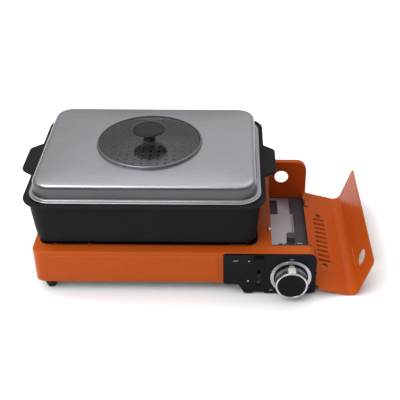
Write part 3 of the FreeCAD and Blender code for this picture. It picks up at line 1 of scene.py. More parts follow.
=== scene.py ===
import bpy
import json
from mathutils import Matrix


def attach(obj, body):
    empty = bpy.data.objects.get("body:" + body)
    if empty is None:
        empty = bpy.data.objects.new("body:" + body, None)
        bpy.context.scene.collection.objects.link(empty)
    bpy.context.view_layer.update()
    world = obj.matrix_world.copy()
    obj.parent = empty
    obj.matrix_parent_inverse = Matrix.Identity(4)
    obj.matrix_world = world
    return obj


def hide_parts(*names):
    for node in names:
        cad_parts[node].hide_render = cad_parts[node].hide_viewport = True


bl_info = {
    "name": "Tabletop Gas Stove",
    "version": (1, 0, 0),
    "blender": (4, 5, 0),
    "location": "View3D > Sidebar > Stove",
    "description": "Dresses the packed model of a canister stove with its pot, lid and studio",
    "category": "Object",
}

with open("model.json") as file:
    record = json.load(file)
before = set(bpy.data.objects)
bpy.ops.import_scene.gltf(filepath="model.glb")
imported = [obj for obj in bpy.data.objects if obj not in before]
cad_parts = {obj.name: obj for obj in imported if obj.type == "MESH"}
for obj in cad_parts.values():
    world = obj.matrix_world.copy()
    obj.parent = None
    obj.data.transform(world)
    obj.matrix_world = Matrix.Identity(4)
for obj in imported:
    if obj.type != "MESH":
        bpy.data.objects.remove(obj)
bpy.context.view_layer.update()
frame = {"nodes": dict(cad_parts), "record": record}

import json
import math

import bmesh
import bpy
from bpy.props import FloatProperty, FloatVectorProperty, IntProperty, PointerProperty
from mathutils import Matrix, Vector

MM = 0.001
QUARTER_TURN = math.pi / 2


# Node helpers

def feed(socket, value):
    """Links a socket to another one, or sets it to a plain value."""
    if isinstance(value, bpy.types.NodeSocket):
        socket.id_data.links.new(value, socket)
    elif value is not None:
        socket.default_value = value


def node(tree, kind, **settings):
    made = tree.nodes.new(kind)
    for name, value in settings.items():
        setattr(made, name, value)
    return made


def put(made, **values):
    """Feeds a node's sockets by name, with underscores for spaces."""
    for name, value in values.items():
        feed(made.inputs[name.replace("_", " ")], value)
    return made


def maths(tree, operation, *values, **settings):
    made = node(tree, "ShaderNodeMath", operation=operation, **settings)
    for socket, value in zip(made.inputs, values):
        feed(socket, value)
    return made.outputs[0]


def mapped(tree, value, low, high, start=0.0, end=1.0, **settings):
    """A value taken from one range to another."""
    made = node(tree, "ShaderNodeMapRange", **settings)
    put(made, Value=value, From_Min=low, From_Max=high, To_Min=start, To_Max=end)
    return made.outputs["Result"]


MIX_SOCKETS = {"RGBA": (0, 6, 7, 2), "FLOAT": (0, 2, 3, 0)}


def mixed(tree, mask, first, second, kind="RGBA"):
    """A colour or number between two, by a mask."""
    made = node(tree, "ShaderNodeMix", data_type=kind)
    *places, result = MIX_SOCKETS[kind]
    for place, value in zip(places, (mask, first, second)):
        feed(made.inputs[place], value)
    return made.outputs[result]


def new_tree(name, kind, inputs, outputs):
    """A node group with named sockets, its given values and its last node."""
    tree = bpy.data.node_groups.new(name, kind)
    for socket, socket_kind, value in inputs:
        made = tree.interface.new_socket(socket, in_out="INPUT", socket_type="NodeSocket" + socket_kind)
        if value is not None:
            made.default_value = value
    for socket, socket_kind in outputs:
        tree.interface.new_socket(socket, in_out="OUTPUT", socket_type="NodeSocket" + socket_kind)
    return tree, node(tree, "NodeGroupInput").outputs, node(tree, "NodeGroupOutput")


# Effects that the finishes share

def grain_group():
    """Fine uneven surface: a height and a mask from noise stretched along the axes."""
    group, given, sink = new_tree(
        "SurfaceGrain",
        "ShaderNodeTree",
        [
            ("Vector", "Vector", None), ("Stretch", "Vector", (1, 1, 1)),
            ("Scale", "Float", 400.0), ("Detail", "Float", 3.0),
        ],
        [("Height", "Float"), ("Mask", "Float")],
    )
    stretch = node(group, "ShaderNodeVectorMath", operation="MULTIPLY")
    feed(stretch.inputs[0], given["Vector"])
    feed(stretch.inputs[1], given["Stretch"])
    noise = node(group, "ShaderNodeTexNoise", noise_dimensions="3D")
    put(noise, Vector=stretch.outputs[0], Scale=given["Scale"], Detail=given["Detail"])
    put(sink, Height=noise.outputs["Fac"], Mask=mapped(group, noise.outputs["Fac"], 0.35, 0.65))
    return group


def edge_group():
    """Rounded edges for sheet and moulded parts, and a mask along those edges."""
    group, given, sink = new_tree(
        "SoftEdge", "ShaderNodeTree",
        [("Radius", "Float", 0.8 * MM)], [("Normal", "Vector"), ("Edge", "Float")],
    )
    bevel = put(node(group, "ShaderNodeBevel", samples=6), Radius=given["Radius"])
    flat = node(group, "ShaderNodeNewGeometry")
    match = node(group, "ShaderNodeVectorMath", operation="DOT_PRODUCT")
    feed(match.inputs[0], bevel.outputs["Normal"])
    feed(match.inputs[1], flat.outputs["Normal"])
    put(sink, Normal=bevel.outputs["Normal"], Edge=mapped(group, match.outputs["Value"], 0.995, 0.9))
    return group


def smudge_group():
    """Slow drift over a surface, for handling marks and uneven gloss."""
    group, given, sink = new_tree(
        "Smudge",
        "ShaderNodeTree",
        [
            ("Vector", "Vector", None), ("Scale", "Float", 14.0),
            ("Low", "Float", 0.2), ("High", "Float", 0.35),
        ],
        [("Value", "Float"), ("Mask", "Float")],
    )
    noise = node(group, "ShaderNodeTexNoise", noise_dimensions="3D")
    put(noise, Vector=given["Vector"], Scale=given["Scale"], Detail=4.0, Roughness=0.6)
    drift = noise.outputs["Fac"]
    put(sink, Value=mapped(group, drift, 0.3, 0.7, given["Low"], given["High"]), Mask=drift)
    return group


def height_group():
    """A mask that goes from none to full between two heights above the table."""
    group, given, sink = new_tree(
        "HeightMask",
        "ShaderNodeTree",
        [("Vector", "Vector", None), ("Low", "Float", 0.0), ("High", "Float", 0.1)],
        [("Mask", "Float")],
    )
    split = put(node(group, "ShaderNodeSeparateXYZ"), Vector=given["Vector"])
    put(sink, Mask=mapped(group, split.outputs["Z"], given["Low"], given["High"]))
    return group


EFFECTS = {
    "SurfaceGrain": grain_group,
    "SoftEdge": edge_group,
    "Smudge": smudge_group,
    "HeightMask": height_group,
}


class Finish:
    """One material with its principled shader and the shared effects wired in."""

    def __init__(self, name, color, roughness=0.4, metallic=0.0, **sockets):
        self.material = bpy.data.materials.new(name)
        self.material.use_nodes = True
        self.material.diffuse_color = (*color, 1.0)
        self.tree = self.material.node_tree
        self.shader = self.tree.nodes["Principled BSDF"]
        put(self.shader, Base_Color=(*color, 1.0), Roughness=roughness, Metallic=metallic, **sockets)
        self.place = node(self.tree, "ShaderNodeTexCoord").outputs["Object"]
        self.normal = None

    def effect(self, name, **values):
        """A shared effect, which is built when it is first asked for."""
        tree = bpy.data.node_groups.get(name) or EFFECTS[name]()
        return put(node(self.tree, "ShaderNodeGroup", node_tree=tree), **values).outputs

    def take_normal(self, normal):
        self.normal = normal
        put(self.shader, Normal=normal)

    def soft_edges(self, radius):
        made = self.effect("SoftEdge", Radius=radius)
        self.take_normal(made["Normal"])
        self.edge = made["Edge"]

    def grain(self, scale, strength, distance, stretch=(1, 1, 1), detail=3.0):
        made = self.effect("SurfaceGrain", Vector=self.place, Stretch=stretch, Scale=scale, Detail=detail)
        bump = node(self.tree, "ShaderNodeBump")
        put(bump, Strength=strength, Distance=distance, Height=made["Height"], Normal=self.normal)
        self.take_normal(bump.outputs["Normal"])
        self.fine = made["Mask"]

    def uneven_gloss(self, low, high, scale=14.0):
        made = self.effect("Smudge", Vector=self.place, Scale=scale, Low=low, High=high)
        put(self.shader, Roughness=made["Value"])
        self.drift = made["Mask"]

    def between_heights(self, low, high):
        return self.effect("HeightMask", Vector=self.place, Low=low * MM, High=high * MM)["Mask"]

    def tint(self, mask, first, second):
        """Mixes the base colour between two by a mask."""
        put(self.shader, Base_Color=mixed(self.tree, mask, (*first, 1.0), (*second, 1.0)))

    def tint_over(self, mask, second):
        """Mixes a further colour over what already feeds the base colour."""
        before = self.shader.inputs["Base Color"].links[0].from_socket
        put(self.shader, Base_Color=mixed(self.tree, mask, before, (*second, 1.0)))


def shade(color, factor):
    return tuple(channel * factor for channel in color)


# Finishes

def orange_enamel(settings):
    color = tuple(settings.orange)
    made = Finish("orange_enamel", color, Specular_IOR_Level=0.1, Coat_Weight=0.02, Coat_Roughness=0.08)
    made.soft_edges(1.0 * MM)
    made.grain(900, 0.05, 0.2 * MM)
    made.uneven_gloss(0.24, 0.34)
    made.tint(made.drift, shade(color, 0.95), shade(color, 1.05))
    # Lighter enamel along the edges: partly where the enamel pulls thin, partly a painted highlight on the
    # edges.
    made.tint_over(made.edge, settings.orange_thin_edge_and_highlight)
    return made.material


def dark_coating(settings):
    color = tuple(settings.pot)
    made = Finish("dark_coating", color, Specular_IOR_Level=0.05)
    made.soft_edges(0.9 * MM)
    made.grain(1100, 0.3, 0.15 * MM)
    made.uneven_gloss(0.42, 0.55, scale=20)
    made.tint(made.fine, shade(color, 0.85), shade(color, 1.2))
    made.tint_over(made.between_heights(156, 160), settings.pot_rim)
    return made.material


def brushed_lid(settings):
    color = tuple(settings.steel)
    made = Finish("brushed_lid", color, metallic=1.0)
    made.soft_edges(0.4 * MM)
    made.grain(60, 0.08, 0.2 * MM, stretch=(1, 26, 4), detail=6.0)
    made.uneven_gloss(0.3, 0.38)
    made.tint(made.fine, shade(color, 0.92), shade(color, 1.06))
    # Painted reflection: the lid's wall darkens from 186 mm down to a fifth of the steel colour below 181 mm,
    # standing in for the dark surroundings it mirrors. The plain colour comes back between 165 and 163 mm.
    made.tint_over(made.between_heights(186, 181), shade(color, 0.2))
    made.tint_over(made.between_heights(165, 163), color)
    return made.material


def bare_steel(name, color, metallic, low, high):
    made = Finish(name, color, metallic=metallic)
    made.soft_edges(0.3 * MM)
    made.grain(300, 0.08, 0.1 * MM)
    made.uneven_gloss(0.3, 0.42)
    made.tint(made.fine, shade(color, low), shade(color, high))
    return made.material


def plain_steel(settings):
    return bare_steel("plain_steel", tuple(settings.steel), 0.75, 0.95, 1.2)


# Painted shade: the window trim is the lid's steel at half its colour, a darker copy standing in for the darker
# surroundings the trim mirrors.
def trim_steel(settings):
    return bare_steel("trim_steel", shade(settings.steel, 0.5), 0.9, 0.92, 1.1)


def tinted_glass(settings):
    made = Finish("tinted_glass", (0.8, 0.79, 0.83), roughness=0.02, Transmission_Weight=1.0, IOR=1.45)
    made.grain(30, 0.01, 0.05 * MM)
    made.tint(made.fine, (0.78, 0.77, 0.81), (0.82, 0.81, 0.85))
    return made.material


def plain_finish(name, color, grain, gloss, edge=None, fine=None, drift=None, **sockets):
    """A finish whose colour varies with its fine grain or with a slow drift."""
    made = Finish(name, color, **sockets)
    if edge:
        made.soft_edges(edge * MM)
    scale, strength, distance, *stretch = grain
    made.grain(scale, strength, distance * MM, *stretch)
    made.uneven_gloss(*gloss)
    made.tint(made.fine if fine else made.drift, *(fine or drift))
    return made.material


# Lengths in millimetres. Grain: scale, strength, distance and stretch. Gloss: low, high and scale.
PLAIN_FINISHES = {
    "zinc_sheet": {
        "color": (0.5, 0.48, 0.5), "metallic": 0.7, "edge": 0.4, "grain": (120, 0.15, 0.3, (1, 0.15, 1)),
        "gloss": (0.35, 0.55, 30), "drift": ((0.38, 0.37, 0.39), (0.6, 0.58, 0.6)),
    },
    # Dark sheet for the dark steel slot, also put on the regulator bracket as painted shade.
    "oiled_sheet": {
        "color": (0.09, 0.08, 0.09), "metallic": 0.4, "Specular_IOR_Level": 0.2, "edge": 0.4,
        "grain": (200, 0.12, 0.2, (1, 0.2, 1)), "gloss": (0.4, 0.6, 24),
        "drift": ((0.06, 0.055, 0.06), (0.13, 0.115, 0.13)),
    },
    "tray_enamel": {
        "color": (0.004, 0.004, 0.004), "Specular_IOR_Level": 0.12, "edge": 0.6, "grain": (500, 0.1, 0.2),
        "gloss": (0.25, 0.42), "fine": ((0.003, 0.003, 0.003), (0.006, 0.006, 0.006)),
    },
    "panel_moulding": {
        "color": (0.008, 0.009, 0.012), "Specular_IOR_Level": 0.09, "edge": 1.0, "grain": (1400, 0.15, 0.1),
        "gloss": (0.38, 0.5), "fine": ((0.007, 0.008, 0.010), (0.010, 0.011, 0.014)),
    },
    "gloss_black": {
        "color": (0.007, 0.007, 0.009), "Specular_IOR_Level": 0.07, "edge": 0.6, "grain": (800, 0.05, 0.1),
        "gloss": (0.28, 0.4), "fine": ((0.006, 0.006, 0.008), (0.009, 0.009, 0.011)),
    },
    "chrome_plate": {
        "color": (0.5, 0.5, 0.52), "metallic": 1.0, "edge": 0.3, "grain": (700, 0.02, 0.1),
        "gloss": (0.1, 0.22, 40), "drift": ((0.45, 0.45, 0.47), (0.54, 0.54, 0.56)),
    },
    "spun_dial": {
        "color": (0.56, 0.56, 0.6), "metallic": 0.85, "edge": 0.3, "grain": (900, 0.1, 0.1),
        "gloss": (0.3, 0.45, 40), "drift": ((0.5, 0.5, 0.54), (0.62, 0.62, 0.66)),
    },
    "die_cast": {
        "color": (0.5, 0.49, 0.48), "metallic": 0.9, "edge": 0.6, "grain": (600, 0.35, 0.3),
        "gloss": (0.4, 0.6, 40), "fine": ((0.42, 0.41, 0.4), (0.55, 0.54, 0.53)),
    },
    "drawn_tube": {
        "color": (0.62, 0.62, 0.63), "metallic": 0.95, "grain": (200, 0.1, 0.1, (0.1, 1, 1)),
        "gloss": (0.25, 0.4), "fine": ((0.56, 0.56, 0.57), (0.66, 0.66, 0.67)),
    },
    "turned_brass": {
        "color": (0.6, 0.42, 0.15), "metallic": 1.0, "edge": 0.3, "grain": (600, 0.06, 0.1),
        "gloss": (0.2, 0.4, 60), "drift": ((0.5, 0.33, 0.11), (0.66, 0.48, 0.19)),
    },
    "dark_phenolic": {
        "color": (0.012, 0.012, 0.014), "Specular_IOR_Level": 0.3, "grain": (900, 0.1, 0.1),
        "gloss": (0.26, 0.4), "fine": ((0.010, 0.010, 0.012), (0.015, 0.015, 0.017)),
    },
    "black_rubber": {
        "color": (0.015, 0.015, 0.015), "Specular_IOR_Level": 0.2, "edge": 0.8, "grain": (700, 0.3, 0.2),
        "gloss": (0.6, 0.8), "fine": ((0.010, 0.010, 0.010), (0.02, 0.02, 0.02)),
    },
    "bare_ceramic": {
        "color": (0.75, 0.72, 0.66), "grain": (800, 0.2, 0.1),
        "gloss": (0.4, 0.6), "fine": ((0.7, 0.67, 0.6), (0.78, 0.75, 0.7)),
    },
    "zinc_screws": {
        "color": (0.5, 0.5, 0.51), "metallic": 1.0, "edge": 0.3, "grain": (500, 0.05, 0.1),
        "gloss": (0.22, 0.4, 80), "drift": ((0.42, 0.42, 0.43), (0.56, 0.56, 0.57)),
    },
    "white_print": {
        "color": (0.6, 0.6, 0.6), "Specular_IOR_Level": 0.2, "grain": (1500, 0.1, 0.05),
        "gloss": (0.45, 0.6), "fine": ((0.5, 0.5, 0.5), (0.68, 0.68, 0.68)),
    },
}
SETTABLE_FINISHES = {
    build.__name__: build
    for build in (orange_enamel, dark_coating, brushed_lid, plain_steel, trim_steel, tinted_glass)
}
SLOT_FINISHES = {
    "orange_paint": "orange_enamel",
    "zinc_steel": "zinc_sheet",
    "dark_steel": "oiled_sheet",
    "black_enamel": "tray_enamel",
    "panel_plastic": "panel_moulding",
    "black_plastic": "gloss_black",
    "chrome": "chrome_plate",
    "dial_metal": "spun_dial",
    "cast_alloy": "die_cast",
    "aluminium": "drawn_tube",
    "brass": "turned_brass",
    "pot_coating": "dark_coating",
    "stainless": "brushed_lid",
    "window_glass": "tinted_glass",
    "phenolic": "dark_phenolic",
    "rubber": "black_rubber",
    "ceramic": "bare_ceramic",
    "screw_steel": "zinc_screws",
}
# Painted shade: the regulator bracket takes the dark sheet finish in place of its slot's finish, so it looks as
# dark as the shade it stands in.
NODE_SHADE_FINISHES = {"regulator_bracket": "oiled_sheet"}


def built(name):
    """A finish's material, made when first asked for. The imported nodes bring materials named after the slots,
    so no finish has a slot's name."""
    ready = bpy.data.materials.get(name)
    if ready:
        return ready
    if name in PLAIN_FINISHES:
        return plain_finish(name, **PLAIN_FINISHES[name])
    return SETTABLE_FINISHES[name](bpy.context.scene.stove_finish)


# Shape helpers, all in millimetres

def outline(half_x, half_y, corner, arc_steps=9, side_steps=7):
    """A rectangle with rounded corners, as points that match one by one between sizes."""
    signs = ((1, 1), (-1, 1), (-1, -1), (1, -1))
    centres = [Vector((x * (half_x - corner), y * (half_y - corner))) for x, y in signs]
    ring = []
    for quarter, centre in enumerate(centres):
        for step in range(arc_steps + 1):
            turn = QUARTER_TURN * (quarter + step / arc_steps)
            spoke = corner * Vector((math.cos(turn), math.sin(turn)))
            ring.append(centre + spoke)
        start = ring[-1]
        end = centres[(quarter + 1) % 4] + spoke
        for step in range(1, side_steps + 1):
            ring.append(start.lerp(end, step / (side_steps + 1)))
    return ring


def softened(corners, radii, steps=6):
    """A flat outline with each corner replaced by a short curve."""
    ring = []
    for index, corner in enumerate(corners):
        here = Vector(corner)
        before = Vector(corners[index - 1]) - here
        after = Vector(corners[(index + 1) % len(corners)]) - here
        first = here + before.normalized() * radii[index]
        last = here + after.normalized() * radii[index]
        for step in range(steps + 1):
            share = step / steps
            ring.append(first.lerp(here, share).lerp(here.lerp(last, share), share))
    return ring


def at_height(ring, height, centre=(0, 0)):
    return [(point[0] + centre[0], point[1] + centre[1], height) for point in ring]


def loft(rings, closed=False, caps=False):
    """Joins rings of equal length by quads, and returns points and faces."""
    count = len(rings[0])
    points = [point for ring in rings for point in ring]
    faces = []
    spans = len(rings) if closed else len(rings) - 1
    for level in range(spans):
        low = level * count
        high = (level + 1) % len(rings) * count
        for step in range(count):
            side = (step + 1) % count
            faces.append((low + step, low + side, high + side, high + step))
    if caps:
        faces.append(tuple(range(count)))
        faces.append(tuple(reversed(range(len(points) - count, len(points)))))
    return points, faces


def turned(profile, place, steps=96, closed=False):
    """Turns a profile of (radius, height) pairs, each placed by the given function of x, y and height."""
    rings = []
    for radius, height in profile:
        ring = []
        for step in range(steps):
            turn = 2 * math.pi * step / steps
            ring.append(place(radius * math.cos(turn), radius * math.sin(turn), height))
        rings.append(ring)
    return loft(rings, closed=closed)


def above_table(centre):
    """Places a turned profile on an upright axis."""
    return lambda x, y, height: (centre[0] + x, centre[1] + y, height)


def joined(*shapes):
    points = []
    faces = []
    for shape_points, shape_faces in shapes:
        start = len(points)
        points.extend(shape_points)
        faces.extend(tuple(index + start for index in face) for face in shape_faces)
    return points, faces


def cleaned(mesh, sharp=40):
    work = bmesh.new()
    work.from_mesh(mesh)
    bmesh.ops.remove_doubles(work, verts=work.verts, dist=0.01 * MM)
    bmesh.ops.dissolve_degenerate(work, edges=work.edges, dist=0.005 * MM)
    bmesh.ops.recalc_face_normals(work, faces=work.faces)
    work.to_mesh(mesh)
    work.free()
    mesh.shade_smooth()
    mesh.set_sharp_from_angle(angle=math.radians(sharp))
    return mesh


def as_mesh(name, shape):
    points, faces = shape
    mesh = bpy.data.meshes.new(name)
    mesh.from_pydata([Vector(point) * MM for point in points], [], faces)
    return cleaned(mesh)


def piece(mesh, body, slot, *replaced, finish=None):
    """Shows a mesh as a piece of the stove that rides on a body."""
    thing = bpy.data.objects.new(mesh.name, mesh)
    bpy.context.scene.collection.objects.link(thing)
    mesh.materials.clear()
    mesh.materials.append(built(finish or SLOT_FINISHES[slot]))
    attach(thing, body)
    if replaced:
        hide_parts(*replaced)
    return thing


def shown(data, name):
    """Links a mesh or curve to the scene, so that it can be evaluated."""
    thing = bpy.data.objects.new(name, data)
    bpy.context.scene.collection.objects.link(thing)
    return thing


def plain_mesh(thing, name):
    """The evaluated mesh of an object or curve, which is then removed."""
    bpy.context.view_layer.update()
    ready = thing.evaluated_get(bpy.context.evaluated_depsgraph_get())
    mesh = bpy.data.meshes.new_from_object(ready)
    mesh.name = name
    bpy.data.objects.remove(thing)
    return mesh


# Repeats made by Geometry Nodes

def copy_tree(name, inputs):
    sockets = [("Copy", "Object", None), *inputs, ("Material", "Material", None)]
    return new_tree(name, "GeometryNodeTree", sockets, [("Geometry", "Geometry")])


def end_tree(tree, given, sink, points, **settings):
    """Sets a copy on each point, and ends the tree in real geometry with its material."""
    shape = put(node(tree, "GeometryNodeObjectInfo"), Object=given["Copy"])
    copies = node(tree, "GeometryNodeInstanceOnPoints")
    put(copies, Points=points, Instance=shape.outputs["Geometry"], **settings)
    real = put(node(tree, "GeometryNodeRealizeInstances"), Geometry=copies.outputs["Instances"])
    dressed = node(tree, "GeometryNodeSetMaterial")
    put(dressed, Geometry=real.outputs["Geometry"], Material=given["Material"])
    put(sink, Geometry=dressed.outputs["Geometry"])
    return tree


def ring_tree():
    """Copies of one shape around an arc, each turned to face outwards."""
    sizes = [("Count", "Int", 60), ("Radius", "Float", 0.02), ("Start", "Float", 0.0), ("Step", "Float", 0.1)]
    tree, given, sink = copy_tree("RingOfCopies", sizes)
    row = put(node(tree, "GeometryNodeMeshLine"), Count=given["Count"])
    number = node(tree, "GeometryNodeInputIndex").outputs[0]
    turn = maths(tree, "ADD", maths(tree, "MULTIPLY", number, given["Step"]), given["Start"])
    place = node(tree, "ShaderNodeCombineXYZ")
    for operation, axis in (("COSINE", "X"), ("SINE", "Y")):
        side = maths(tree, operation, turn)
        feed(place.inputs[axis], maths(tree, "MULTIPLY", side, given["Radius"]))
    moved = node(tree, "GeometryNodeSetPosition")
    put(moved, Geometry=row.outputs["Mesh"], Position=place.outputs[0])
    heading = put(node(tree, "ShaderNodeCombineXYZ"), Z=turn)
    facing = node(tree, "FunctionNodeEulerToRotation")
    feed(facing.inputs[0], heading.outputs[0])
    return end_tree(tree, given, sink, moved.outputs["Geometry"], Rotation=facing.outputs[0])


def field_tree():
    """Copies of one square tile over a rectangular field."""
    sizes = [("Columns", "Int", 20), ("Rows", "Int", 14), ("Pitch", "Float", 13 * MM)]
    tree, given, sink = copy_tree("FieldOfTiles", sizes)
    grid = node(tree, "GeometryNodeMeshGrid")
    for count, spots, length in (("Columns", "Vertices X", "Size X"), ("Rows", "Vertices Y", "Size Y")):
        gaps = maths(tree, "SUBTRACT", given[count], 1.0)
        feed(grid.inputs[length], maths(tree, "MULTIPLY", gaps, given["Pitch"]))
        feed(grid.inputs[spots], given[count])
    return end_tree(tree, given, sink, grid.outputs["Mesh"])


def row_tree():
    """Copies of one shape in a straight row."""
    sizes = [("Count", "Int", 10), ("Spacing", "Vector", (0, -12.4 * MM, 0))]
    tree, given, sink = copy_tree("RowOfCopies", sizes)
    row = put(node(tree, "GeometryNodeMeshLine"), Count=given["Count"], Offset=given["Spacing"])
    return end_tree(tree, given, sink, row.outputs["Mesh"])


def grown(name, build_tree, shape, values):
    """The plain mesh that a tree makes from one shape and its named sizes."""
    tree = bpy.data.node_groups.get(name) or build_tree()
    seed = shown(as_mesh(name + "_shape", shape), name + "_shape")
    base = shown(bpy.data.meshes.new(name), name)
    maker = base.modifiers.new(name, "NODES")
    maker.node_group = tree
    for socket in tree.interface.items_tree:
        if socket.in_out == "INPUT":
            maker[socket.identifier] = seed if socket.name == "Copy" else values[socket.name]
    mesh = plain_mesh(base, name)
    bpy.data.objects.remove(seed)
    return mesh


def merged(name, *meshes):
    work = bmesh.new()
    for mesh in meshes:
        work.from_mesh(mesh)
    whole = bpy.data.meshes.new(name)
    work.to_mesh(whole)
    work.free()
    return cleaned(whole)


class StoveFinish(bpy.types.PropertyGroup):
    """Colours of the visible finishes."""

    orange: FloatVectorProperty(
        name="Enamel", description="Colour of the casing and cover", subtype="COLOR",
        default=(0.61, 0.105, 0.012),
    )
    # Lighter enamel along edges: where it pulls thin, and a painted highlight.
    orange_thin_edge_and_highlight: FloatVectorProperty(
        name="Enamel edge", description="Enamel where it pulls thin over an edge", subtype="COLOR",
        default=(0.78, 0.19, 0.04),
    )
    steel: FloatVectorProperty(
        name="Lid steel", description="Colour of the brushed lid", subtype="COLOR", default=(0.5, 0.49, 0.53)
    )
    pot: FloatVectorProperty(
        name="Pot coating", description="Colour of the pot", subtype="COLOR", default=(0.014, 0.014, 0.015)
    )
    pot_rim: FloatVectorProperty(
        name="Pot rim", description="Colour of the pot's rim and lugs", subtype="COLOR",
        default=(0.02, 0.02, 0.022),
    )


class StoveLid(bpy.types.PropertyGroup):
    """Sizes of the pressed lid and its knob, in millimetres."""

    centre: FloatProperty(name="Centre", description="Middle of the lid along the stove", default=-42.0)
    half_x: FloatProperty(name="Half length", description="From the middle to the edge", default=171.0)
    half_y: FloatProperty(name="Half depth", description="From the middle to the edge", default=128.0)
    corner: FloatProperty(name="Corner", description="Radius of the edge's corners", default=34.0)
    shoulder: FloatProperty(name="Shoulder", description="Radius between wall and top", default=8.6)
    shoulder_top: FloatProperty(name="Shoulder top", description="Height of its upper end", default=187.4)
    crown: FloatProperty(name="Crown", description="Height of the flat round the window", default=190.0)
    sheet: FloatProperty(name="Sheet", description="Thickness of the steel", default=0.8)
    window: FloatProperty(name="Window", description="Radius of the hole for the window", default=77.0)
    plateau: FloatProperty(name="Plateau", description="Radius of the flat round the window", default=84.0)


class StovePot(bpy.types.PropertyGroup):
    """Sizes of the cast pot and the rack in it, in millimetres."""

    foot_x: FloatProperty(name="Foot half length", description="Half length at the foot", default=165.0)
    foot_y: FloatProperty(name="Foot half depth", description="Half depth at the foot", default=121.0)
    rim_x: FloatProperty(name="Rim half length", description="Half length over the rim", default=178.0)
    rim_y: FloatProperty(name="Rim half depth", description="Half depth over the rim", default=136.0)
    wall: FloatProperty(name="Wall", description="Thickness of the wall", default=3.0)
    low: FloatProperty(name="Foot height", description="Height of the foot above the table", default=85.0)
    high: FloatProperty(name="Rim height", description="Height of the rim above the table", default=160.0)
    rack_height: FloatProperty(name="Rack height", description="From pot floor to rack", default=46.0)
    rack_x: FloatProperty(name="Rack half length", description="From the middle to the edge", default=159.0)
    rack_y: FloatProperty(name="Rack half depth", description="From the middle to the edge", default=115.0)
    rack_corner: FloatProperty(name="Rack corner", description="Radius of the rack's corners", default=24.0)
    rack_sheet: FloatProperty(name="Rack sheet", description="Thickness of the rack", default=1.5)
    leg_x: FloatProperty(name="Leg across", description="From the middle to the rack's legs", default=136.0)
    leg_y: FloatProperty(name="Leg depth", description="From the middle to the rack's legs", default=92.0)
    pitch: FloatProperty(name="Hole pitch", description="Spacing of the rack's holes", default=13.0)
    hole: FloatProperty(name="Hole", description="Radius of the rack's holes", default=2.9)
    columns: IntProperty(name="Columns", description="Holes along the rack", default=22)
    rows: IntProperty(name="Rows", description="Holes across the rack", default=15)


class StoveKnob(bpy.types.PropertyGroup):
    """Sizes of the control knob and its scale, in millimetres."""

    x: FloatProperty(name="Across", description="Place of the knob's axis along the stove", default=176.0)
    z: FloatProperty(name="Height", description="Height of the knob's axis", default=34.0)
    back: FloatProperty(name="Back", description="Back of the knob, off the dial", default=-137.6)
    radius: FloatProperty(name="Radius", description="Radius of the knob over its ribs", default=24.3)
    length: FloatProperty(name="Length", description="Length of the knob", default=20.0)
    ribs: IntProperty(name="Ribs", description="Number of ribs round the knob", default=60)
    ticks: IntProperty(name="Ticks", description="Number of ticks on the dial", default=13)
    sweep: FloatProperty(
        name="Sweep", description="Turn of the knob", unit="ROTATION", default=math.radians(120)
    )


class StoveCover(bpy.types.PropertyGroup):
    """Sizes of the open cover's vents, in millimetres."""

    slope: FloatProperty(
        name="Slope", description="Tilt of the open cover", unit="ROTATION", default=math.radians(14.56)
    )
    hinge_x: FloatProperty(name="Hinge across", description="Hinge's place along the stove", default=216.0)
    hinge_z: FloatProperty(name="Hinge height", description="Height of the hinge", default=13.5)
    first_vent: FloatProperty(name="First vent", description="Place of the rear round vent", default=61.0)
    pitch: FloatProperty(name="Pitch", description="Spacing of the vents", default=12.4)
    slots: IntProperty(name="Slots", description="Number of slots", default=10)
    slot_start: FloatProperty(name="Slot start", description="From the hinge to the slots", default=10.0)
    slot_length: FloatProperty(name="Slot length", description="Length of each slot", default=20.0)
    slot_width: FloatProperty(name="Slot width", description="Width of each slot", default=6.5)
    round_vent: FloatProperty(name="Round vent", description="Radius of the round vents", default=5.0)
    lip: FloatProperty(name="Lip", description="Thickness of the turned rim", default=0.8)
    lip_depth: FloatProperty(name="Lip depth", description="Depth of the turned rim", default=4.2)


class StoveStudio(bpy.types.PropertyGroup):
    """Camera and light of the studio."""

    camera_place: FloatVectorProperty(
        name="Camera place", description="Where the camera stands", subtype="TRANSLATION", unit="LENGTH",
        default=(0.0862, -1.0711, 0.8067),
    )
    pitch: FloatProperty(
        name="Pitch", description="Camera tilt below level", unit="ROTATION", default=math.radians(34.05)
    )
    yaw: FloatProperty(
        name="Yaw", description="Camera turn about the vertical", unit="ROTATION", default=math.radians(0.12)
    )
    roll: FloatProperty(
        name="Roll", description="Camera turn about its axis", unit="ROTATION", default=math.radians(0.32)
    )
    lens: FloatProperty(name="Lens", description="Focal length in millimetres", default=71.6)
    shift: FloatProperty(name="Shift", description="Sideways lens shift", default=-0.077)
    key: FloatProperty(
        name="Key light", description="Power of the softbox above the front", unit="POWER", default=13.5
    )
    fill: FloatProperty(
        name="Fill light", description="Power of the softbox on the left", unit="POWER", default=1.5
    )
    room: FloatProperty(name="Room light", description="Strength of the surrounding light", default=0.79)
    floor_glow: FloatProperty(name="Floor glow", description="White of the open floor", default=0.7)


# Operators

class STOVE_OT_finishes(bpy.types.Operator):
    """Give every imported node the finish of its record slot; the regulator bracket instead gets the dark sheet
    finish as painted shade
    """

    bl_idname = "stove.finishes"
    bl_label = "Finishes"

    def execute(self, context):
        for entry in frame["record"]["subparts"]:
            thing = frame["nodes"][entry["node"]]
            thing.data.materials.clear()
            # The regulator bracket's finish here is a painted shade, not its slot's finish.
            chosen = NODE_SHADE_FINISHES.get(entry["node"], SLOT_FINISHES[entry["material_slot"]])
            thing.data.materials.append(built(chosen))
        return {"FINISHED"}


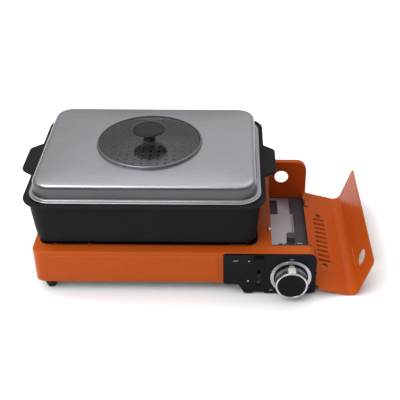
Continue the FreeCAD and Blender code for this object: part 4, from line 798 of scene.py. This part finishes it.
class STOVE_OT_lid(bpy.types.Operator):
    """Press the brushed lid, from its curled edge to the flat round the window"""

    bl_idname = "stove.lid"
    bl_label = "Lid"

    def execute(self, context):
        lid = context.scene.stove_lid
        rings = []

        def ring(inset, height):
            flat = outline(lid.half_x - inset, lid.half_y - inset, lid.corner - inset)
            rings.append([(point.x, point.y, height) for point in flat])

        edge = [(0.9, 160.1), (0.3, 160.3), (0.0, 160.9), (0.2, 161.6), (0.9, 162.1), (2.0, 162.3)]
        gutter = [(3.2, 162.1), (4.6, 161.9), (5.4, 162.3), (5.9, 163.1), (6.1, 164.4)]
        for inset, height in edge + gutter:
            ring(inset, height)
        ring(6.4, 172.0)
        ring(6.9, 178.0)
        for step in range(1, 9):
            turn = math.radians(85) * step / 8
            inset = 7.1 + lid.shoulder * (1 - math.cos(turn))
            ring(inset, lid.shoulder_top - lid.shoulder * (1 - math.sin(turn)))
        shoulder = rings[-1]
        for share in (0.04, 0.12, 0.22, 0.34, 0.46, 0.58, 0.7, 0.8, 0.9, 1.0):
            start = shoulder[0][2]
            height = start + (lid.crown - start) * (1 - (1 - share) ** 2)
            row = []
            for x, y, _ in shoulder:
                reach = math.hypot(x, y)
                pull = 1 - share + share * lid.plateau / reach
                row.append((x * pull, y * pull, height))
            rings.append(row)
        inwards = lid.window / lid.plateau
        rings.append([(x * inwards, y * inwards, z) for x, y, z in rings[-1]])
        rings = [[(x + lid.centre, y, z) for x, y, z in row] for row in rings]
        thing = shown(as_mesh("lid_sheet", loft(rings)), "lid_sheet")
        wall = thing.modifiers.new("sheet", "SOLIDIFY")
        wall.thickness = lid.sheet * MM
        wall.offset = -1.0
        mesh = cleaned(plain_mesh(thing, "pressed_lid"))
        piece(mesh, "pot_lid", "stainless", "lid_shell")
        return {"FINISHED"}


class STOVE_OT_lid_fittings(bpy.types.Operator):
    """Turn the window's trim ring and the mushroom knob"""

    bl_idname = "stove.lid_fittings"
    bl_label = "Lid fittings"

    def execute(self, context):
        lid = context.scene.stove_lid
        place = above_table((lid.centre, 0))
        trim = [
            (79.6, 190.1), (81.2, 190.1), (81.25, 190.6), (81.1, 191.6), (80.6, 193.2),
            (80.0, 194.2), (79.3, 194.6), (78.6, 194.5), (78.2, 194.15), (79.6, 194.1),
        ]
        ring = as_mesh("window_trim", turned(trim, place, 128, closed=True))
        # The trim takes the darkened copy of the steel, a painted shade.
        piece(ring, "pot_lid", "stainless", "window_ring", finish="trim_steel")
        stem = [
            (5.2, 195.1), (9.6, 195.1), (10.0, 195.5), (9.9, 196.4), (8.8, 198.0), (7.4, 200.2), (6.7, 202.6),
            (6.6, 204.8), (7.2, 207.4), (9.2, 209.4),
        ]
        cap = [
            (13.0, 210.5), (18.0, 211.1), (22.4, 211.6), (24.6, 212.1), (25.4, 212.9), (25.4, 213.6),
            (24.8, 214.5), (23.4, 215.2), (20.0, 215.9), (12.0, 216.35), (0.0, 216.45),
        ]
        piece(as_mesh("mushroom_knob", turned(stem + cap, place, 96)), "pot_lid", "phenolic", "lid_knob")
        return {"FINISHED"}


class STOVE_OT_pot(bpy.types.Operator):
    """Cast the pot with its rolled rim and its two lugs"""

    bl_idname = "stove.pot"
    bl_label = "Pot"

    def execute(self, context):
        pot = context.scene.stove_pot
        centre = (context.scene.stove_lid.centre, 0)
        rise = pot.high - pot.low

        def ring(height, grow=0.0, corner=18.0, wall=None):
            climb = (height - pot.low) / rise if wall is None else wall
            flat = outline(pot.foot_x + 6 * climb + grow, pot.foot_y + 8 * climb + grow, corner + grow)
            return at_height(flat, height, centre)

        def brim(inset, height, corner=32.0):
            return at_height(outline(pot.rim_x - inset, pot.rim_y - inset, corner - inset), height, centre)

        rings = [ring(pot.low, grow=-16, corner=24, wall=0)]
        for step in range(7):
            turn = QUARTER_TURN * step / 6
            rings.append(ring(pot.low + 6 * (1 - math.cos(turn)), grow=-6 * (1 - math.sin(turn)), wall=0))
        for height in (105, 125, 145, 154):
            rings.append(ring(height, corner=18 + 6 * (height - pot.low) / rise))
        rings += [brim(6.6, 156.2), brim(4.4, 156.6), brim(1.2, 156.9), brim(0.3, 157.4), brim(0, 158.3)]
        rings += [brim(0.1, 159.2), brim(0.6, 159.8), brim(1.4, 160.0), brim(6.0, 160.0), brim(9.7, 159.9)]
        rings += [brim(10.2, 159.5)]
        for height in (154, 130, 105, 95):
            rings.append(ring(height, grow=-pot.wall, corner=18 + 6 * (height - pot.low) / rise))
        for step in range(1, 6):
            turn = QUARTER_TURN * step / 5
            rings.append(ring(92 - 4 * math.sin(turn), grow=-pot.wall - 4 * (1 - math.cos(turn)), wall=0.1))
        body = loft(rings, caps=True)
        lugs = []
        for side in (-1, 1):
            root = 172.0 * side
            edge = pot.rim_x * side
            tip = (pot.rim_x + 18) * side
            corners = [(root, -52), (edge - side, -47), (tip, -32), (tip, 32), (edge - side, 47), (root, 52)]
            flat = softened(corners, [0.1, 5, 6, 6, 5, 0.1])
            middle = Vector((edge, 0))
            levels = []
            under = [(0.965, 155.5), (0.99, 155.8), (1, 156.6)]
            over = [(1, 158.8), (0.99, 159.6), (0.965, 159.9)]
            for shrink, height in under + over:
                shrunk = [middle + (point - middle) * shrink for point in flat]
                levels.append(at_height(shrunk, height, centre))
            lugs.append(loft(levels, caps=True))
        piece(as_mesh("cast_pot", joined(body, *lugs)), "pot", "pot_coating", "pot")
        return {"FINISHED"}


class STOVE_OT_rack(bpy.types.Operator):
    """Perforate the steam rack and stand it on its legs"""

    bl_idname = "stove.rack"
    bl_label = "Steam rack"

    def execute(self, context):
        pot = context.scene.stove_pot
        centre = (context.scene.stove_lid.centre, 0)
        floor = pot.low + pot.wall
        top = floor + pot.rack_height
        low = top - pot.rack_sheet
        half = pot.pitch / 2

        def plate(first, last, middle=(0, 0)):
            """Rings that cross a flat plate's underside and come back over its top."""
            turns = ((first, low), (last, low), (last, top), (first, top))
            return [at_height(flat, height, middle) for flat, height in turns]

        hole = []
        square = []
        for step in range(16):
            turn = math.radians(22.5) * step
            across = Vector((math.cos(turn), math.sin(turn)))
            hole.append(across * pot.hole)
            square.append(across * (half / max(abs(across.x), abs(across.y))))
        settings = {
            "Columns": pot.columns,
            "Rows": pot.rows,
            "Pitch": pot.pitch * MM,
            "Material": built("plain_steel"),
        }
        field = grown("FieldOfTiles", field_tree, loft(plate(square, hole)), settings)
        field.transform(Matrix.Translation((centre[0] * MM, 0, 0)))
        inside = outline(pot.columns * half, pot.rows * half, 0.2)
        outside = outline(pot.rack_x, pot.rack_y, pot.rack_corner)
        border = loft(plate(inside, outside, centre), closed=True)
        post = [(0, floor), (3.2, floor), (4.0, floor + 0.8), (4.0, low + 0.2), (0, low + 0.2)]
        legs = []
        for side_x in (-1, 1):
            for side_y in (-1, 1):
                place = above_table((centre[0] + pot.leg_x * side_x, pot.leg_y * side_y))
                legs.append(turned(post, place, 24))
        mesh = merged("steam_rack_plate", field, as_mesh("rack_border", joined(border, *legs)))
        piece(mesh, "steam_rack", "stainless", "steam_rack", finish="plain_steel")
        return {"FINISHED"}


class STOVE_OT_vents(bpy.types.Operator):
    """Turn the rims of the cover's slots and round vents outwards"""

    bl_idname = "stove.vents"
    bl_label = "Cover vents"

    def execute(self, context):
        cover = context.scene.stove_cover
        half = cover.slot_width / 2
        middle = (cover.slot_start + cover.slot_length / 2, 0)
        rings = []
        deep = cover.lip_depth
        for grow, height in ((0, 0.0), (cover.lip, 0.0), (cover.lip, -deep), (0, -deep)):
            flat = outline(cover.slot_length / 2 + grow, half + grow, 0.3 + grow, arc_steps=3, side_steps=1)
            rings.append(at_height(flat, height, middle))
        settings = {
            "Count": cover.slots,
            "Spacing": (0, -cover.pitch * MM, 0),
            "Material": built("orange_enamel"),
        }
        lips = grown("RowOfCopies", row_tree, loft(rings, closed=True), settings)
        lips.transform(Matrix.Translation((0, -cover.pitch * MM, 0)))
        rounds = []
        outer = cover.round_vent + cover.lip
        for place in (0, cover.slots + 1):
            edge = [(cover.round_vent, 0), (outer, 0), (outer, -deep), (cover.round_vent, -deep)]
            rounds.append(turned(edge, above_table((middle[0], -place * cover.pitch)), 32, closed=True))
        mesh = merged("vent_lips", lips, as_mesh("round_lips", joined(*rounds)))
        hinge = Matrix.Translation(Vector((cover.hinge_x, cover.first_vent, cover.hinge_z)) * MM)
        mesh.transform(hinge @ Matrix.Rotation(cover.slope, 4, "Y"))
        piece(mesh, "canister_cover", "orange_paint")
        return {"FINISHED"}


def out_of_panel(x, z, back):
    """Places a turned profile on an axis towards the user, with its height measured from the back."""
    return lambda across, up, height: (x + across, back - height, z + up)


def facing_user(x, z, back):
    """Stands a flat mesh up at a place, facing the user."""
    return Matrix.Translation(Vector((x, back, z)) * MM) @ Matrix.Rotation(QUARTER_TURN, 4, "X")


class STOVE_OT_knob(bpy.types.Operator):
    """Turn the bright knob and set its ribs"""

    bl_idname = "stove.knob"
    bl_label = "Control knob"

    def execute(self, context):
        knob = context.scene.stove_knob
        rim = knob.radius
        front = knob.length
        skirt = rim - 0.7
        profile = [
            (22.35, 0.0), (skirt - 0.1, 0.0), (skirt, 0.4), (skirt, front - 3.4), (rim - 0.3, front - 3),
            (rim, front - 2.4), (rim, front - 1), (rim - 0.3, front - 0.4), (rim - 0.9, front),
            (rim - 1.9, front), (rim - 2.6, front - 0.3), (rim - 3, front - 0.9), (22.35, front - 0.98),
        ]
        place = out_of_panel(knob.x, knob.z, knob.back)
        shell = as_mesh("knob_skirt", turned(profile, place, 120, closed=True))
        rib = [
            at_height([(-0.4, -0.7), (-0.4, 0.7), (0.3, 0.4), (0.6, 0), (0.3, -0.4)], height)
            for height in (0.8, front - 3.2)
        ]
        settings = {
            "Count": knob.ribs,
            "Radius": skirt * MM,
            "Start": 0.0,
            "Step": 2 * math.pi / knob.ribs,
            "Material": built("chrome_plate"),
        }
        ribs = grown("RingOfCopies", ring_tree, loft(rib, caps=True), settings)
        ribs.transform(facing_user(knob.x, knob.z, knob.back))
        piece(merged("ribbed_knob", shell, ribs), "knob", "chrome", "knob_shell")
        face = [(0, 19.25), (12, 19.2), (18, 19.1), (20.6, 19.0), (21.5, 18.7), (21.6, 18.0), (0, 18.0)]
        piece(as_mesh("knob_face", turned(face, place, 96)), "knob", "black_plastic")
        levels = []
        steps = 8
        sections = ((6.6, 24.1, 25.0), (7.2, 23.9, 25.4), (18.6, 23.9, 25.4), (19.4, 24.1, 25.0))
        for height, low, high in sections:
            arc = []
            for radius, row in ((high, range(steps + 1)), (low, range(steps, -1, -1))):
                for step in row:
                    turn = QUARTER_TURN + math.radians(26) * (0.5 - step / steps)
                    arc.append(place(radius * math.cos(turn), radius * math.sin(turn), height))
            levels.append(arc)
        piece(as_mesh("pointer_block", loft(levels, caps=True)), "knob", "ceramic")
        return {"FINISHED"}


DIAL_FACE = -137.0
PANEL_FACE = -136.0
PANEL_WORDS = (
    ("OFF", 4.2, 92, 64.2), ("ON", 4.2, 94, 15.6),
    ("OFF", 3.4, 176, 67.6), ("ON", 3.4, 146.5, 8.4),
)
PANEL_DOTS = ((1.5, 111, 26), (1.3, 112, 64.2), (1.1, 151.5, 15))


class STOVE_OT_marks(bpy.types.Operator):
    """Print the plain marks on the panel and the scale on the dial"""

    bl_idname = "stove.marks"
    bl_label = "Marks"

    def execute(self, context):
        knob = context.scene.stove_knob
        bar = [(-1.9, -0.3), (1.1, -0.3), (1.1, 0.3), (-1.9, 0.3)]
        tick = loft([at_height(bar, height) for height in (-0.05, 0.1)], caps=True)
        settings = {
            "Count": knob.ticks,
            "Radius": 28.9 * MM,
            "Start": QUARTER_TURN,
            "Step": knob.sweep / (knob.ticks - 1),
            "Material": built("dark_phenolic"),
        }
        ticks = grown("RingOfCopies", ring_tree, tick, settings)
        ticks.transform(facing_user(knob.x, knob.z, DIAL_FACE))
        piece(cleaned(ticks), "stove_body", "phenolic")
        words = []
        for text, size, x, z in PANEL_WORDS:
            curve = bpy.data.curves.new(text, "FONT")
            curve.body = text
            curve.size = size * MM
            curve.align_x = "CENTER"
            curve.align_y = "CENTER"
            curve.extrude = 0.06 * MM
            curve.resolution_u = 3
            letters = plain_mesh(shown(curve, "letters"), "letters")
            letters.transform(facing_user(x, z, PANEL_FACE - 0.02))
            words.append(letters)
        dots = []
        for radius, x, z in PANEL_DOTS:
            disc = [(0, 0.12), (radius - 0.1, 0.12), (radius, 0.05), (radius, -0.02), (0, -0.02)]
            dots.append(turned(disc, out_of_panel(x, z, PANEL_FACE), 20))
        mesh = merged("panel_print", as_mesh("dots", joined(*dots)), *words)
        piece(mesh, "stove_body", "panel_plastic", finish="white_print")
        return {"FINISHED"}


LIT_POINT = (0, 0, 0.1)


def softbox(name, place, width, depth, power):
    """A rectangular lamp that faces the middle of the stove."""
    lamp = bpy.data.lights.new(name, "AREA")
    lamp.shape = "RECTANGLE"
    lamp.size = width
    lamp.size_y = depth
    lamp.energy = power
    thing = bpy.data.objects.new(name, lamp)
    thing.location = place
    aim = Vector(LIT_POINT) - Vector(place)
    thing.rotation_euler = aim.to_track_quat("-Z", "Y").to_euler()
    bpy.context.scene.collection.objects.link(thing)
    return thing


def floor_material(glow_strength):
    """Pale floor, white where it is open, with painted shade: its glow fades in the narrow gaps under the
    stove.
    """
    material = bpy.data.materials.new("studio_floor")
    material.use_nodes = True
    tree = material.node_tree
    shader = put(tree.nodes["Principled BSDF"], Base_Color=(0.86, 0.86, 0.86, 1.0), Roughness=0.9)
    path = node(tree, "ShaderNodeLightPath").outputs
    seen = maths(tree, "ADD", path["Is Camera Ray"], path["Is Glossy Ray"], use_clamp=True)
    seen = maths(tree, "ADD", seen, path["Is Transmission Ray"], use_clamp=True)
    # Painted shade: ambient occlusion dims the floor's painted glow in narrow gaps, so the floor under the
    # stove and behind the vents looks shaded.
    open_sky = put(node(tree, "ShaderNodeAmbientOcclusion", samples=6), Distance=90 * MM)
    deepened = maths(tree, "POWER", open_sky.outputs["AO"], 2.5)
    shaded = maths(tree, "MULTIPLY", seen, deepened)
    glow = put(node(tree, "ShaderNodeEmission"), Strength=maths(tree, "MULTIPLY", shaded, glow_strength))
    both = node(tree, "ShaderNodeAddShader")
    feed(both.inputs[0], shader.outputs[0])
    feed(both.inputs[1], glow.outputs[0])
    put(tree.nodes["Material Output"], Surface=both.outputs[0])
    return material


def room_world(strength):
    """White to the camera, and a soft room for everything else: brighter above, behind and on the left,
    and evener across where it is mirrored."""
    world = bpy.data.worlds.new("room")
    world.use_nodes = True
    tree = world.node_tree
    path = node(tree, "ShaderNodeLightPath").outputs
    place = node(tree, "ShaderNodeTexCoord").outputs["Generated"]
    across, depth, height = put(node(tree, "ShaderNodeSeparateXYZ"), Vector=place).outputs
    above = mapped(tree, height, 0.3, 0.8, 0.0, 0.95, interpolation_type="SMOOTHSTEP")
    behind = mapped(tree, depth, -0.6, 0.6, 0.1, 0.42)
    leaning = mapped(tree, across, -0.8, 0.8, 1.7, 0.3)
    mirrored = mapped(tree, across, -0.8, 0.8, 0.7, 1.3)
    side = mixed(tree, path["Is Glossy Ray"], leaning, mirrored, kind="FLOAT")
    room = maths(tree, "MULTIPLY", maths(tree, "ADD", above, behind), side)
    lit = maths(tree, "MULTIPLY", room, strength)
    seen = mixed(tree, path["Is Camera Ray"], lit, 1.0, kind="FLOAT")
    put(tree.nodes["Background"], Color=(1, 1, 1, 1), Strength=seen)
    return world


class STOVE_OT_studio(bpy.types.Operator):
    """Build the floor, the soft lights, the surroundings and the camera"""

    bl_idname = "stove.studio"
    bl_label = "Studio"

    def execute(self, context):
        settings = context.scene.stove_studio
        mesh = bpy.data.meshes.new("floor")
        reach = 6.0
        corners = [(-reach, -reach, 0), (reach, -reach, 0), (reach, reach, 0), (-reach, reach, 0)]
        mesh.from_pydata(corners, [], [(0, 1, 2, 3)])
        floor = bpy.data.objects.new("floor", mesh)
        floor.data.materials.append(floor_material(settings.floor_glow))
        context.scene.collection.objects.link(floor)
        softbox("key_box", (-0.75, -1.0, 1.45), 1.4, 0.7, settings.key)
        softbox("side_box", (-1.6, -0.2, 0.9), 1.0, 0.8, settings.fill)
        context.scene.world = room_world(settings.room)

        data = bpy.data.cameras.new("camera")
        data.sensor_width = 36
        data.lens = settings.lens
        data.shift_x = settings.shift
        camera = bpy.data.objects.new("camera", data)
        turn = Matrix.Rotation(settings.yaw, 4, "Z") @ Matrix.Rotation(QUARTER_TURN - settings.pitch, 4, "X")
        turn = turn @ Matrix.Rotation(settings.roll, 4, "Z")
        camera.matrix_world = Matrix.Translation(settings.camera_place) @ turn
        context.scene.collection.objects.link(camera)
        context.scene.camera = camera
        context.scene.view_settings.view_transform = "Standard"
        return {"FINISHED"}


class STOVE_PT_panel(bpy.types.Panel):
    """Lists the steps that dress the stove"""

    bl_label = "Tabletop Gas Stove"
    bl_idname = "STOVE_PT_panel"
    bl_space_type = "VIEW_3D"
    bl_region_type = "UI"
    bl_category = "Stove"

    def draw(self, context):
        for operator in OPERATORS:
            self.layout.operator(operator.bl_idname)


OPERATORS = (
    STOVE_OT_finishes,
    STOVE_OT_lid,
    STOVE_OT_lid_fittings,
    STOVE_OT_pot,
    STOVE_OT_rack,
    STOVE_OT_vents,
    STOVE_OT_knob,
    STOVE_OT_marks,
    STOVE_OT_studio,
)
GROUPS = (
    ("stove_finish", StoveFinish),
    ("stove_lid", StoveLid),
    ("stove_pot", StovePot),
    ("stove_knob", StoveKnob),
    ("stove_cover", StoveCover),
    ("stove_studio", StoveStudio),
)


def register():
    for name, group in GROUPS:
        bpy.utils.register_class(group)
        setattr(bpy.types.Scene, name, PointerProperty(type=group))
    for operator in OPERATORS:
        bpy.utils.register_class(operator)
    bpy.utils.register_class(STOVE_PT_panel)


def unregister():
    bpy.utils.unregister_class(STOVE_PT_panel)
    for operator in reversed(OPERATORS):
        bpy.utils.unregister_class(operator)
    for name, group in reversed(GROUPS):
        delattr(bpy.types.Scene, name)
        bpy.utils.unregister_class(group)


def main():
    register()
    for operator in OPERATORS:
        area, name = operator.bl_idname.split(".")
        getattr(getattr(bpy.ops, area), name)()


if __name__ == "__main__":
    main()
